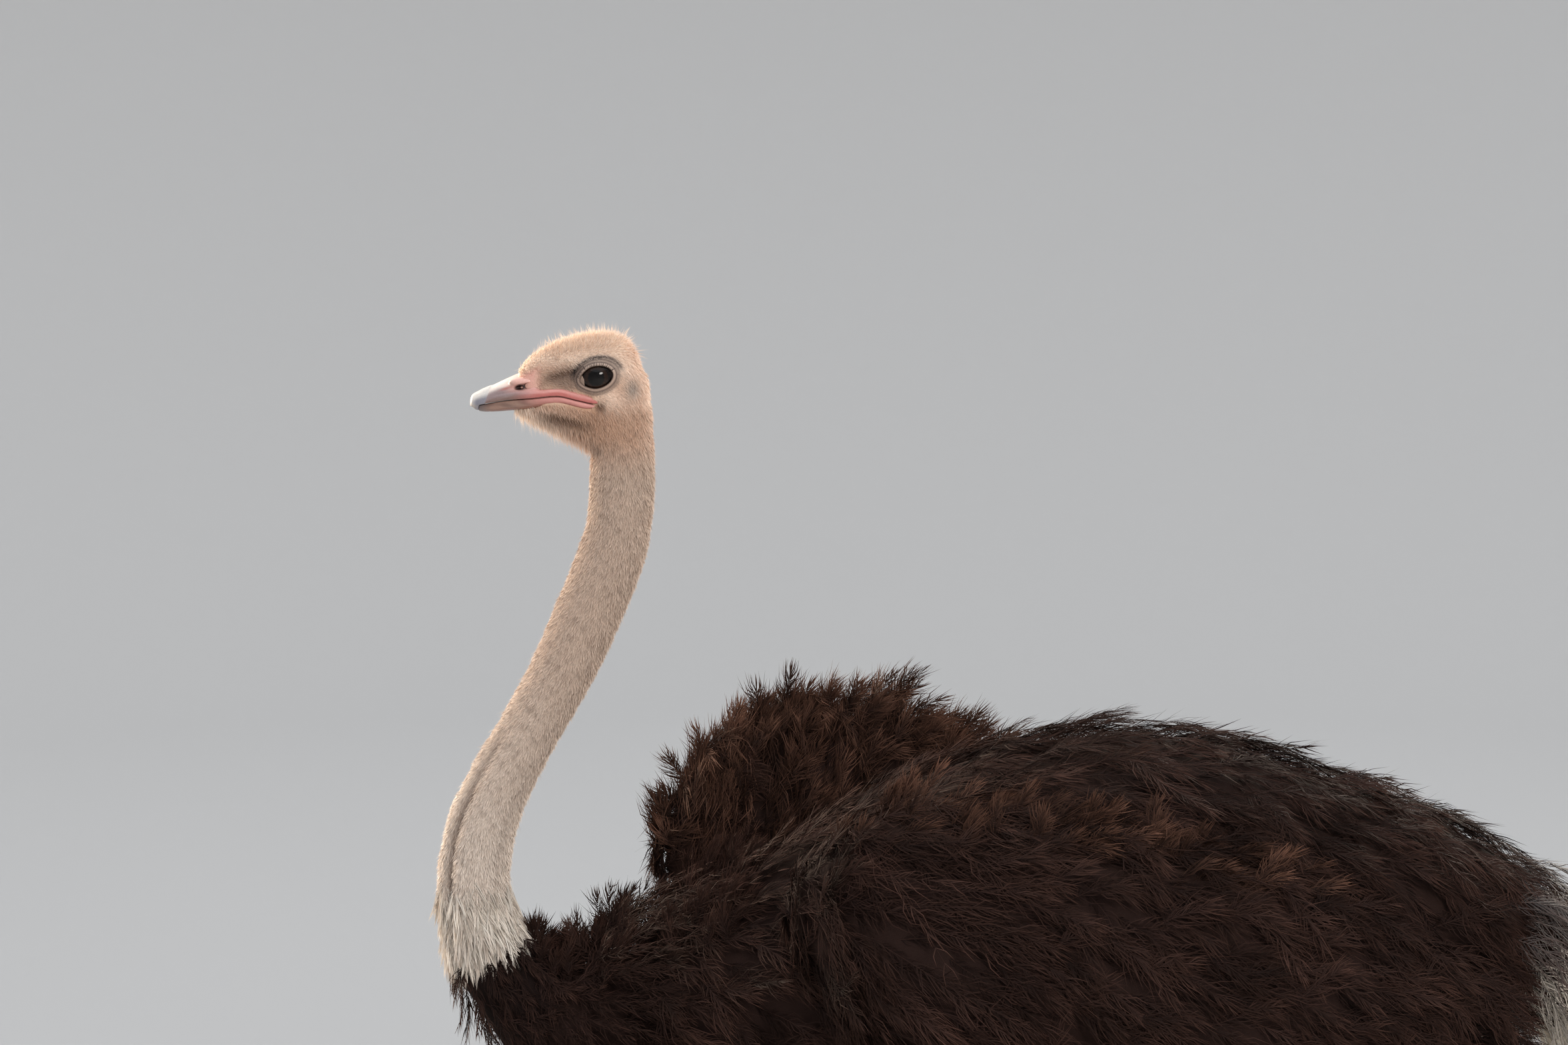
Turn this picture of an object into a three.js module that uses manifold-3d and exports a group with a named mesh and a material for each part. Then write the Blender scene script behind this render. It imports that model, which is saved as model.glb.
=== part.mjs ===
// A male ostrich standing still with its neck in a relaxed S and its far wing a little raised.
// Millimetres, +Z up. The bird looks along -X, so its left side is at -Y. While it is being made, x is measured
// from the shoulder joints towards the tail and z from the ground. At the end the whole bird is moved so that the
// origin is under the middle of its box. The solids reach out to the tips of the down and the feathers.
import * as THREE from "three";
import { mergeVertices } from "three/addons/utils/BufferGeometryUtils.js";
import Module from "manifold-3d";

const wasm = await Module();
wasm.setup();

// ---- Driving dimensions -------------------------------------------------------------------------------------------

const GAP = 0.5; // clearance between neighbouring solids
const CUTTER = 4000; // side of the blocks that part the body
const CUT_TRUNK = [140, 610]; // where the trunk is divided: behind the breast, before the rump
const CUT_WING = 290; // between a wing's wrist and its coverts

const COLOUR = {
  down: { color: 0xc9b08f, roughness: 0.9 },
  collar: { color: 0xe9dcc6, roughness: 0.9 },
  plumage: { color: 0x2b1d18, roughness: 0.85 },
  white: { color: 0xe6ded2, roughness: 0.85 },
  bill: { color: 0xa08c84, roughness: 0.45 },
  eye: { color: 0x140d09, roughness: 0.08 },
  bareSkin: { color: 0x9a8478, roughness: 0.7 },
  claw: { color: 0x4a4039, roughness: 0.4 },
};

// Head: the cranium with its down, from the forehead to the nape. x, top, bottom, half width, squareness.
const CRANIUM = [
  [-320, 1744, 1684, 20, 2.2],
  [-303, 1765, 1673, 28, 2.3],
  [-277, 1778, 1662, 35, 2.4],
  [-248, 1787, 1650, 41, 2.5],
  [-222, 1791, 1642, 44.5, 2.5],
  [-198, 1787, 1642, 43, 2.4],
  [-181, 1771, 1650, 37, 2.2],
  [-169, 1744, 1662, 27, 2.1],
];
const EYE = { x: -222, y: 34, z: 1737, length: 23, depth: 15, height: 20 };

// Bill: the line of the closed mouth from the tip back to its corner, and what lies above and below it.
const MOUTH = [
  [-372, 1699],
  [-336, 1706],
  [-303, 1709],
  [-268, 1712],
  [-244, 1707],
  [-226, 1703],
];
// x, height above the mouth line, half width
const BILL_UPPER = [
  [-371, 13, 10],
  [-362, 17, 15],
  [-346, 20.5, 19.5],
  [-330, 25.5, 23.5],
  [-316, 29.5, 27],
  [-300, 25, 31],
  [-280, 11, 36],
  [-258, 9.5, 39.5],
  [-232, 9, 41.5],
];
// x, depth below the mouth line, half width
const BILL_LOWER = [
  [-367, 5.5, 8.5],
  [-357, 8.5, 13.5],
  [-340, 11, 19],
  [-318, 12, 25],
  [-296, 14, 30],
  [-268, 14, 36.5],
  [-246, 9, 39.5],
  [-236, 6, 40.5],
];

// Neck: its axis and half sizes from the throat down to the shoulders. x, z, half depth, half width.
const NECK = [
  [-194, 1690, 36, 33],
  [-194, 1645, 41, 36],
  [-196, 1580, 42, 36],
  [-206, 1525, 43, 37],
  [-229, 1466, 43.5, 38],
  [-266, 1384, 41.5, 38],
  [-303, 1317, 40, 38],
  [-343, 1247, 42, 39],
  [-366, 1194, 45, 40],
  [-377, 1138, 45.5, 41],
  [-374, 1085, 46.5, 42],
  [-358, 1036, 56, 47],
  [-332, 999, 68, 58],
  [-290, 957, 82, 74],
  [-222, 940, 114, 98],
  [-150, 956, 148, 124],
];
// Where the neck is divided, in stations of that list: throat, three lengths of pale neck, collar, dark base.
const NECK_CUTS = { throat: 2.4, upper: 4.7, middle: 7, lower: 10, collar: 11, base: 15 };
const GULLET = { angle: 2.35, width: 0.22, depth: 0.13, from: 6, full: 8.5 }; // the groove beside the windpipe

// Trunk, feathers included. x, top, bottom, half width, squareness.
const TRUNK = [
  [-205, 975, 846, 62, 2.0],
  [-165, 1066, 808, 112, 2.0],
  [-95, 1126, 780, 160, 2.1],
  [10, 1184, 766, 204, 2.15],
  [120, 1246, 764, 230, 2.2],
  [240, 1292, 770, 243, 2.25],
  [400, 1319, 784, 245, 2.25],
  [550, 1302, 806, 228, 2.2],
  [690, 1258, 840, 193, 2.15],
  [800, 1216, 884, 150, 2.1],
  [880, 1170, 936, 104, 2.05],
];

// Wings. x, y outwards, z, half height, half thickness, lean of the upper edge towards the back in degrees.
const WING_FOLDED = [
  [20, 180, 1124, 60, 40, 16],
  [60, 212, 1122, 106, 60, 20],
  [104, 232, 1117, 142, 68, 22],
  [176, 248, 1106, 166, 74, 24],
  [300, 257, 1088, 168, 74, 24],
  [430, 256, 1070, 162, 70, 22],
  [570, 238, 1050, 142, 63, 20],
  [700, 206, 1028, 106, 55, 18],
  [800, 166, 1010, 64, 44, 16],
];
const WING_RAISED = [
  [-148, 182, 1120, 64, 40, -2],
  [-104, 204, 1136, 112, 54, -3],
  [-32, 226, 1148, 154, 64, -4],
  [60, 242, 1148, 164, 70, 0],
  [136, 254, 1138, 170, 74, 6],
  [184, 260, 1118, 160, 76, 12],
  [300, 261, 1090, 166, 77, 20],
  [430, 259, 1070, 162, 72, 22],
  [570, 240, 1050, 142, 64, 20],
  [700, 208, 1028, 106, 56, 18],
  [800, 168, 1010, 64, 45, 16],
];
// The long white plumes that hang from the hind edge of the wing behind the thigh.
const WING_PLUMES = [
  [490, 214, 930, 66, 38, 0],
  [580, 226, 902, 100, 48, 4],
  [690, 216, 874, 118, 52, 8],
  [800, 182, 848, 112, 50, 10],
  [896, 140, 822, 78, 40, 10],
];

// Tail: a drooping mop of plumes. x, z, half depth, half width.
const TAIL = [
  [780, 1070, 118, 118],
  [856, 1060, 110, 124],
  [930, 1024, 106, 134],
  [1000, 966, 104, 140],
  [1058, 896, 94, 132],
  [1096, 828, 68, 98],
];

// Legs, from the hip down to the knuckle above the toes. x, outwards, z, half depth, half width.
const LEG = [
  [470, 138, 1010, 128, 76],
  [446, 148, 930, 156, 92],
  [446, 152, 852, 146, 92],
  [464, 150, 774, 116, 80],
  [490, 144, 694, 84, 63],
  [517, 136, 614, 56, 46],
  [538, 129, 548, 41, 36],
  [548, 125, 500, 42, 36],
  [541, 123, 452, 36, 31],
  [523, 122, 376, 27, 23],
  [503, 122, 290, 24.5, 20.5],
  [484, 122, 204, 25, 21],
  [466, 122, 124, 28.5, 24],
  [454, 122, 66, 35, 29],
];
// Where a leg is divided, in stations of that list.
const LEG_CUTS = { hip: 0, shank: 3.4, hock: 6.35, tarsus: 7.75, knuckle: 13 };
const STEP = { left: -34, right: 30 }; // how far each foot is set forward or back of the hips
// Toes. Distance ahead of the knuckle, height of the back, half width.
const BIG_TOE = [
  [-30, 40, 22],
  [-8, 62, 31],
  [36, 54, 30],
  [70, 42, 26],
  [102, 44, 27],
  [134, 33, 22],
  [152, 26, 16],
];
const SMALL_TOE = [
  [8, 44, 17],
  [34, 38, 19],
  [60, 29, 16],
  [84, 29, 17],
  [104, 20, 11],
];
const SOLE_PRESS = 10; // how much of a toe's round underside is pressed flat
const BIG_CLAW = { from: 156, length: 50, height: 25, width: 14 };
const SMALL_CLAW = { from: 107, length: 16, height: 13, width: 6 };
const SMALL_TOE_TURN = 22; // degrees outwards from the big toe
const TOE_SHIFT = 24; // how far the small toe's root lies outwards of the big one's

// ---- Shape tools --------------------------------------------------------------------------------------------------

const radians = THREE.MathUtils.degToRad;

// The value of a list's column at a place between its stations, smooth through every station.
function along(list, place, column) {
  const last = list.length - 1;
  const i = Math.min(Math.floor(place), last - 1);
  const at = (k) => list[Math.max(0, Math.min(last, k))][column];
  const [a, b, c, d] = [at(i - 1), at(i), at(i + 1), at(i + 2)];
  const t = place - i;
  const slopeB = i === 0 ? c - b : (c - a) / 2;
  const slopeC = i + 1 === last ? c - b : (d - b) / 2;
  const t2 = t * t;
  const t3 = t2 * t;
  return (2 * t3 - 3 * t2 + 1) * b + (t3 - 2 * t2 + t) * slopeB + (3 * t2 - 2 * t3) * c + (t3 - t2) * slopeC;
}

// A place moved to the nearest one that a list covers.
const within = (list, place) => THREE.MathUtils.clamp(place, 0, list.length - 1);

// The place in a list at which its first column has a given value.
function placeOf(list, value) {
  let i = 0;
  while (i < list.length - 2 && list[i + 1][0] < value) i += 1;
  return i + THREE.MathUtils.clamp((value - list[i][0]) / (list[i + 1][0] - list[i][0]), 0, 1);
}

// How many stations of a list the clearance takes up at a place. columns are those of the axis.
function stationGap(list, columns, place) {
  const near = THREE.MathUtils.clamp(place, 0.05, list.length - 1.05);
  const [run, rise] = columns.map((column) => along(list, near + 0.05, column) - along(list, near - 0.05, column));
  return place === 0 ? 0 : (0.1 * GAP) / Math.hypot(run, rise);
}

const power = (v, p) => Math.sign(v) * Math.abs(v) ** (2 / p);

// A closed surface through rings of points, with a fan over each end.
function skinned(rings) {
  const sides = rings[0].length;
  const middle = (ring) => ring.reduce((sum, p) => sum.add(p), new THREE.Vector3()).divideScalar(sides);
  const points = [...rings.flat(), middle(rings[0]), middle(rings.at(-1))];
  const first = rings.length * sides;
  const faces = [];
  for (let i = 0; i < rings.length - 1; i += 1)
    for (let k = 0; k < sides; k += 1) {
      const [a, b] = [i * sides + k, i * sides + ((k + 1) % sides)];
      faces.push(a, b, b + sides, a, b + sides, a + sides);
    }
  for (let k = 0; k < sides; k += 1) {
    const end = (rings.length - 1) * sides;
    faces.push(first, (k + 1) % sides, k, first + 1, end + k, end + ((k + 1) % sides));
  }
  const geometry = new THREE.BufferGeometry().setFromPoints(points);
  geometry.setIndex(faces);
  return geometry;
}

// Rings round an axis. ringAt(place, scale, push) gives one ring; each end may close in a dome of that length.
function domed(ringAt, from, to, count, domes = [0, 0], domeRings = 2) {
  const rings = [];
  for (let i = domeRings; i > 0 && domes[0]; i -= 1) {
    const turn = (i / domeRings) * 0.47 * Math.PI;
    rings.push(ringAt(from, Math.cos(turn), -domes[0] * Math.sin(turn)));
  }
  for (let i = 0; i <= count; i += 1) rings.push(ringAt(from + ((to - from) * i) / count, 1, 0));
  for (let i = 1; i <= domeRings && domes[1]; i += 1) {
    const turn = (i / domeRings) * 0.47 * Math.PI;
    rings.push(ringAt(to, Math.cos(turn), domes[1] * Math.sin(turn)));
  }
  return rings;
}

// A body along an axis. centre(place) is a point, sizes(place) half its height and width. The rings stand square to
// the axis, or upright across x. No point is lower than floor.
function limb(options) {
  const { centre, sizes, from, to, count, sides, domes, upright, grow = 0, shape = () => 1 } = options;
  const { floor = -Infinity } = options;
  const step = 0.02;
  const across = new THREE.Vector3(0, 1, 0);
  const ringAt = (place, scale, push) => {
    const tangent = upright ? new THREE.Vector3(1, 0, 0) : centre(place + step).sub(centre(place - step)).normalize();
    const up = new THREE.Vector3().crossVectors(tangent, across).normalize();
    const side = new THREE.Vector3().crossVectors(up, tangent);
    const middle = centre(place).addScaledVector(tangent, push + Math.sign(push) * grow);
    const { tall, half, square = 2 } = sizes(place);
    const ring = [];
    for (let k = 0; k < sides; k += 1) {
      const turn = (2 * Math.PI * k) / sides;
      const [c, s] = [Math.cos(turn), Math.sin(turn)];
      const fold = shape(place, turn);
      const point = middle
        .clone()
        .addScaledVector(up, power(c, square) * (tall * fold * scale + grow))
        .addScaledVector(side, power(s, square) * (half * fold * scale + grow));
      point.z = Math.max(point.z, floor);
      ring.push(point);
    }
    return ring;
  };
  return skinned(domed(ringAt, from, to, count, domes));
}

// The solid of a closed geometry.
function solidOf(geometry) {
  const plain = geometry.clone();
  plain.deleteAttribute("normal");
  plain.deleteAttribute("uv");
  const merged = mergeVertices(plain, 1e-3);
  const triVerts = new Uint32Array(merged.index.array);
  const made = new wasm.Manifold(
    new wasm.Mesh({ numProp: 3, vertProperties: merged.attributes.position.array, triVerts }),
  );
  if (made.volume() >= 0) return made;
  return new wasm.Manifold(
    new wasm.Mesh({ numProp: 3, vertProperties: merged.attributes.position.array, triVerts: triVerts.reverse() }),
  );
}

// A block that holds all between two values of one axis.
function between(axis, low, high) {
  const size = [CUTTER, CUTTER, CUTTER];
  size[axis] = high - low;
  const box = new THREE.BoxGeometry(...size);
  const shift = [0, 0, 0];
  shift[axis] = (low + high) / 2;
  return solidOf(box.translate(...shift));
}

const bird = new THREE.Group();

function add(name, solid, look) {
  const { numProp, vertProperties, triVerts } = solid.getMesh();
  const places = new Float32Array((vertProperties.length / numProp) * 3);
  for (let i = 0; i < places.length / 3; i += 1)
    places.set(vertProperties.subarray(i * numProp, i * numProp + 3), i * 3);
  const geometry = new THREE.BufferGeometry();
  geometry.setAttribute("position", new THREE.BufferAttribute(places, 3));
  geometry.setIndex(new THREE.BufferAttribute(new Uint32Array(triVerts), 1));
  geometry.computeVertexNormals();
  const mesh = new THREE.Mesh(geometry, new THREE.MeshStandardMaterial({ ...look, metalness: 0 }));
  mesh.name = name;
  bird.add(mesh);
}

// ---- Trunk --------------------------------------------------------------------------------------------------------

function trunkSolid(grow) {
  return solidOf(
    limb({
      centre: (p) => {
        const place = within(TRUNK, p);
        return new THREE.Vector3(along(TRUNK, place, 0), 0, (along(TRUNK, place, 1) + along(TRUNK, place, 2)) / 2);
      },
      sizes: (p) => {
        const tall = (along(TRUNK, p, 1) - along(TRUNK, p, 2)) / 2;
        return { tall, half: along(TRUNK, p, 3), square: along(TRUNK, p, 4) };
      },
      from: 0,
      to: TRUNK.length - 1,
      count: 11,
      sides: 18,
      domes: [34, 52],
      upright: true,
      grow,
    }),
  );
}

const trunk = trunkSolid(0);
const trunkRoom = trunkSolid(GAP);
add("breast", trunk.intersect(between(0, -CUTTER, CUT_TRUNK[0] - GAP / 2)), COLOUR.plumage);
add("back_and_belly", trunk.intersect(between(0, CUT_TRUNK[0] + GAP / 2, CUT_TRUNK[1] - GAP / 2)), COLOUR.plumage);
add("rump", trunk.intersect(between(0, CUT_TRUNK[1] + GAP / 2, CUTTER)), COLOUR.plumage);

// ---- Neck ---------------------------------------------------------------------------------------------------------

// The two grooves that part the windpipe from the neck behind it.
function gullet(place, turn) {
  const start = THREE.MathUtils.smoothstep(place, GULLET.from, GULLET.full);
  const end = 1 - THREE.MathUtils.smoothstep(place, NECK_CUTS.lower - 0.3, NECK_CUTS.collar);
  const off = Math.min(Math.abs(turn - GULLET.angle), Math.abs(2 * Math.PI - turn - GULLET.angle));
  return 1 - GULLET.depth * start * end * Math.exp(-((off / GULLET.width) ** 2));
}

function neckSolid(from, to, count, sides, domes) {
  return solidOf(
    limb({
      centre: (p) => {
        const place = within(NECK, p);
        return new THREE.Vector3(along(NECK, place, 0), 0, along(NECK, place, 1));
      },
      sizes: (p) => ({ tall: along(NECK, p, 2), half: along(NECK, p, 3) }),
      from,
      to,
      count,
      sides,
      domes,
      shape: gullet,
    }),
  );
}

const NECK_NODES = [
  ["neck_upper", "throat", "upper", 3, 16, COLOUR.down],
  ["neck_middle", "upper", "middle", 3, 16, COLOUR.down],
  ["neck_lower", "middle", "lower", 5, 24, COLOUR.down],
  ["neck_collar", "lower", "collar", 2, 24, COLOUR.collar],
];
for (const [name, start, end, count, sides, look] of NECK_NODES) {
  const from = NECK_CUTS[start] + stationGap(NECK, [0, 1], NECK_CUTS[start]);
  add(name, neckSolid(from, NECK_CUTS[end], count, sides), look);
}
const baseFrom = NECK_CUTS.collar + stationGap(NECK, [0, 1], NECK_CUTS.collar);
add("neck_base", neckSolid(baseFrom, NECK_CUTS.base, 5, 18).subtract(trunkRoom), COLOUR.plumage);

// ---- Bill ---------------------------------------------------------------------------------------------------------

// One half of the bill: arched on its outer side and flat along the mouth. way is 1 above the mouth, -1 below.
function billSolid(list, way, grow) {
  const mouth = (x) => along(MOUTH, placeOf(MOUTH, x), 1);
  const sides = 14;
  const ringAt = (place, scale, push) => {
    const x = along(list, place, 0) + push + Math.sign(push) * grow;
    const base = mouth(x) + way * (GAP / 2 - grow);
    const ring = [];
    for (let k = 0; k < sides; k += 1) {
      const turn = (2 * Math.PI * k) / sides;
      const width = power(Math.sin(turn), 2.4) * (along(list, place, 2) * scale + grow);
      const rise = Math.max(0, power(Math.cos(turn), 2.4)) * along(list, place, 1) * scale;
      const lip = Math.cos(turn) < 0 ? 0 : 1.5 * scale + 2 * grow;
      ring.push(new THREE.Vector3(x, width, base + way * (rise + lip)));
    }
    return ring;
  };
  return solidOf(skinned(domed(ringAt, 0, list.length - 1, 8, [4, 7], 2)));
}

const billUpperRoom = billSolid(BILL_UPPER, 1, GAP);
const billLowerRoom = billSolid(BILL_LOWER, -1, GAP);
add("bill_upper", billSolid(BILL_UPPER, 1, 0), COLOUR.bill);
add("bill_lower", billSolid(BILL_LOWER, -1, 0).subtract(billUpperRoom), COLOUR.bill);

// ---- Head and eyes ------------------------------------------------------------------------------------------------

function craniumSolid() {
  return solidOf(
    limb({
      centre: (p) => {
        const place = within(CRANIUM, p);
        return new THREE.Vector3(along(CRANIUM, place, 0), 0, (along(CRANIUM, place, 1) + along(CRANIUM, place, 2)) / 2);
      },
      sizes: (p) => {
        const tall = (along(CRANIUM, p, 1) - along(CRANIUM, p, 2)) / 2;
        return { tall, half: along(CRANIUM, p, 3), square: along(CRANIUM, p, 4) };
      },
      from: 0,
      to: CRANIUM.length - 1,
      count: 8,
      sides: 16,
      domes: [4, 6],
      upright: true,
    }),
  );
}

function eyeSolid(side, grow) {
  const ball = new THREE.SphereGeometry(1, 12, 8);
  ball.rotateX(Math.PI / 2);
  ball.scale(EYE.length + grow, EYE.depth + grow, EYE.height + grow);
  return solidOf(ball.translate(EYE.x, side * EYE.y, EYE.z));
}

const headFrom = neckSolid(0, NECK_CUTS.throat, 3, 16, [14, 0]);
const head = craniumSolid()
  .add(headFrom)
  .subtract(billUpperRoom)
  .subtract(billLowerRoom)
  .subtract(eyeSolid(-1, GAP))
  .subtract(eyeSolid(1, GAP));
add("head", head, COLOUR.down);
add("eye_left", eyeSolid(-1, 0), COLOUR.eye);
add("eye_right", eyeSolid(1, 0), COLOUR.eye);

// ---- Tail ---------------------------------------------------------------------------------------------------------

const tail = solidOf(
  limb({
    centre: (p) => {
      const place = within(TAIL, p);
      return new THREE.Vector3(along(TAIL, place, 0), 0, along(TAIL, place, 1));
    },
    sizes: (p) => ({ tall: along(TAIL, p, 2), half: along(TAIL, p, 3), square: 2.3 }),
    from: 0,
    to: TAIL.length - 1,
    count: 7,
    sides: 16,
    domes: [0, 34],
  }),
);
add("tail", tail.subtract(trunkRoom), COLOUR.white);

// ---- Legs ---------------------------------------------------------------------------------------------------------

// A length of one leg between two stations. The foot's step fades out up the leg.
function legSolid(side, step, from, to, count, sides, domes, grow = 0) {
  return solidOf(
    limb({
      centre: (p) => {
        const place = within(LEG, p);
        const [x, y, z] = [0, 1, 2].map((column) => along(LEG, place, column));
        return new THREE.Vector3(x + (step * place) / (LEG.length - 1), side * y, z);
      },
      sizes: (p) => ({ tall: along(LEG, p, 3), half: along(LEG, p, 4) }),
      from,
      to,
      count,
      sides,
      domes,
      grow,
    }),
  );
}

// A toe, a pad pressed flat on the ground, ahead of its root. The claw is one as well.
function toeSolid(list, root, turn, count, domes, sides = 10) {
  const forward = new THREE.Matrix4().makeRotationZ(turn).setPosition(root.x, root.y, 0);
  const geometry = limb({
    centre: (p) => {
      const place = within(list, p);
      return new THREE.Vector3(-along(list, place, 0), 0, (along(list, place, 1) - SOLE_PRESS) / 2);
    },
    sizes: (p) => {
      const tall = (along(list, p, 1) + SOLE_PRESS) / 2;
      return { tall, half: along(list, p, 2), square: 2.6 };
    },
    from: 0,
    to: list.length - 1,
    count,
    sides,
    domes,
    floor: 0,
  });
  return solidOf(geometry.applyMatrix4(forward));
}

function clawSolid({ from, length, height, width }, root, turn) {
  const list = [0, 0.35, 0.7, 1].map((share) => [
    from + share * length,
    height * Math.sqrt(1 - share * 0.86),
    width * Math.sqrt(1 - share * 0.9),
  ]);
  return toeSolid(list, root, turn, 3, [0, 3], 8);
}

const SIDES = { left: -1, right: 1 };
const thighRoom = {};
for (const [name, side] of Object.entries(SIDES)) {
  const step = STEP[name];
  const knuckle = LEG.at(-1);
  const part = (from, to, count, sides, domes) =>
    legSolid(side, step, LEG_CUTS[from] + stationGap(LEG, [0, 2], LEG_CUTS[from]), LEG_CUTS[to], count, sides, domes);
  const bigRoot = new THREE.Vector3(knuckle[0] + step, side * knuckle[1], 0);
  const smallRoot = new THREE.Vector3(knuckle[0] + step, side * (knuckle[1] + TOE_SHIFT), 0);
  const turn = side * radians(-SMALL_TOE_TURN);
  const bigToe = toeSolid(BIG_TOE, bigRoot, 0, 7, [8, 5]);
  const smallToe = toeSolid(SMALL_TOE, smallRoot, turn, 5, [4, 5]);
  const [bigRoom, smallRoom] = [grown(bigToe, GAP), grown(smallToe, GAP)];
  thighRoom[name] = legSolid(side, step, 0, LEG_CUTS.shank + 0.6, 6, 18, [20, 0], GAP);
  add(`thigh_${name}`, part("hip", "shank", 5, 18, [20, 0]).subtract(trunkRoom), COLOUR.bareSkin);
  add(`shank_${name}`, part("shank", "hock", 5, 14, [0, 0]), COLOUR.bareSkin);
  add(`hock_${name}`, part("hock", "tarsus", 3, 14, [0, 0]), COLOUR.bareSkin);
  const tarsus = part("tarsus", "knuckle", 5, 12, [0, 12]).subtract(bigRoom).subtract(smallRoom);
  add(`tarsus_${name}`, tarsus, COLOUR.bareSkin);
  add(`toe_big_${name}`, bigToe, COLOUR.bareSkin);
  add(`toe_small_${name}`, smallToe.subtract(bigRoom), COLOUR.bareSkin);
  add(`claw_big_${name}`, clawSolid(BIG_CLAW, bigRoot, 0).subtract(bigRoom), COLOUR.claw);
  add(`claw_small_${name}`, clawSolid(SMALL_CLAW, smallRoot, turn).subtract(smallRoom), COLOUR.claw);
}

// A solid a little larger all round its own middle, to cut its neighbour with.
function grown(solid, by) {
  const { min, max } = solid.boundingBox();
  const middle = [0, 1, 2].map((i) => (min[i] + max[i]) / 2);
  const scale = [0, 1, 2].map((i) => 1 + (2 * by) / (max[i] - min[i]));
  return solid
    .translate(middle.map((v) => -v))
    .scale(scale)
    .translate(middle);
}

// ---- Wings --------------------------------------------------------------------------------------------------------

function wingSolid(list, side, count, sides, domes, grow = 0) {
  const ringAt = (place, scale, push) => {
    const [x, y, z, tall, thick, lean] = [0, 1, 2, 3, 4, 5].map((column) => along(list, place, column));
    const tilt = radians(lean);
    const ring = [];
    for (let k = 0; k < sides; k += 1) {
      const turn = (2 * Math.PI * k) / sides;
      const high = power(Math.cos(turn), 2.2) * (tall * scale + grow);
      const out = power(Math.sin(turn), 2.2) * (thick * scale + grow);
      const away = y + out * Math.cos(tilt) - high * Math.sin(tilt);
      ring.push(
        new THREE.Vector3(x + push + Math.sign(push) * grow, side * away, z + high * Math.cos(tilt) + out * Math.sin(tilt)),
      );
    }
    return ring;
  };
  return solidOf(skinned(domed(ringAt, 0, list.length - 1, count, domes)));
}

const WINGS = { left: WING_FOLDED, right: WING_RAISED };
for (const [name, side] of Object.entries(SIDES)) {
  const list = WINGS[name];
  const wing = wingSolid(list, side, list.length - 1, 14, [18, 34]).subtract(trunkRoom).subtract(thighRoom[name]);
  add(`wing_${name}_wrist`, wing.intersect(between(0, -CUTTER, CUT_WING - GAP / 2)), COLOUR.plumage);
  add(`wing_${name}_coverts`, wing.intersect(between(0, CUT_WING + GAP / 2, CUTTER)), COLOUR.plumage);
  const room = wingSolid(list, side, list.length - 1, 14, [18, 34], GAP);
  const plumes = wingSolid(WING_PLUMES, side, 5, 12, [26, 30]);
  add(`wing_${name}_plumes`, plumes.subtract(room).subtract(trunkRoom).subtract(thighRoom[name]), COLOUR.white);
}

// ---- Origin under the middle of the bird's box --------------------------------------------------------------------

const box = new THREE.Box3().setFromObject(bird, true);
const centre = box.getCenter(new THREE.Vector3());
bird.position.set(-centre.x, -centre.y, -box.min.z);
bird.updateMatrixWorld(true);

export default bird;
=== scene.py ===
import math

import bpy
import numpy as np
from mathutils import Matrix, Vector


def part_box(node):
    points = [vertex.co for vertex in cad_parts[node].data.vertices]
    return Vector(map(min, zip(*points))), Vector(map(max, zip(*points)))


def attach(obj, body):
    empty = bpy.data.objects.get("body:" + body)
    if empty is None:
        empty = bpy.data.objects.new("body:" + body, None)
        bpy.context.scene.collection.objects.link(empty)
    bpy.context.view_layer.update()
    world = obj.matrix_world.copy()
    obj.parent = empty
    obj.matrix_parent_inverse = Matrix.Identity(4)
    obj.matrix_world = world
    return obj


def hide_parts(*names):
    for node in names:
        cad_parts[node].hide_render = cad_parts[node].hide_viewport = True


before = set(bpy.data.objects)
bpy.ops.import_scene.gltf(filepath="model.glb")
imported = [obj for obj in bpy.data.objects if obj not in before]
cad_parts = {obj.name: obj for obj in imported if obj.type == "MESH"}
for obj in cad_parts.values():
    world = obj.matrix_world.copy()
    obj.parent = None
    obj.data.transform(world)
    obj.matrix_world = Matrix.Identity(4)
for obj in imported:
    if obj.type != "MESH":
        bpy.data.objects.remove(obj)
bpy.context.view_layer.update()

import openvdb

bl_info = {
    "name": "Ostrich",
    "version": (1, 0, 0),
    "blender": (4, 5, 0),
    "location": "View3D > Sidebar > Ostrich",
    "description": "Builds the looks of a life-size ostrich over its solids",
    "category": "Object",
}

MM = 0.001
TAU = 2 * math.pi
AT_ONCE = 20000        # points measured in one go, to spare memory

# ---- The bird's measures, in millimetres -------------------------------------------------------
# x runs from the shoulder joints towards the tail, y to the bird's right, z up from the ground.

EYE = dict(x=-222.0, y=34.0, z=1737.0, length=23.0, depth=15.0, height=20.0)
LID = dict(x=-222.0, z=1735.0, length=19.8, height=13.0, tilt=math.radians(13))

# The cranium under its down. x, top, bottom, half width, squareness.
CRANIUM = [
    (-320, 1736, 1697, 17, 2.2),
    (-303, 1757, 1689, 25, 2.3),
    (-277, 1770, 1677, 32, 2.4),
    (-248, 1779, 1663, 38.5, 2.5),
    (-222, 1783, 1652, 42, 2.5),
    (-198, 1780, 1650, 40.5, 2.4),
    (-181, 1764, 1656, 35, 2.2),
    (-170, 1740, 1667, 25, 2.1),
]
# The closed mouth from the tip back to its corner. x, z.
MOUTH = [(-374, 1699), (-336, 1706), (-303, 1709), (-268, 1712), (-244, 1707), (-226, 1703)]
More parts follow.
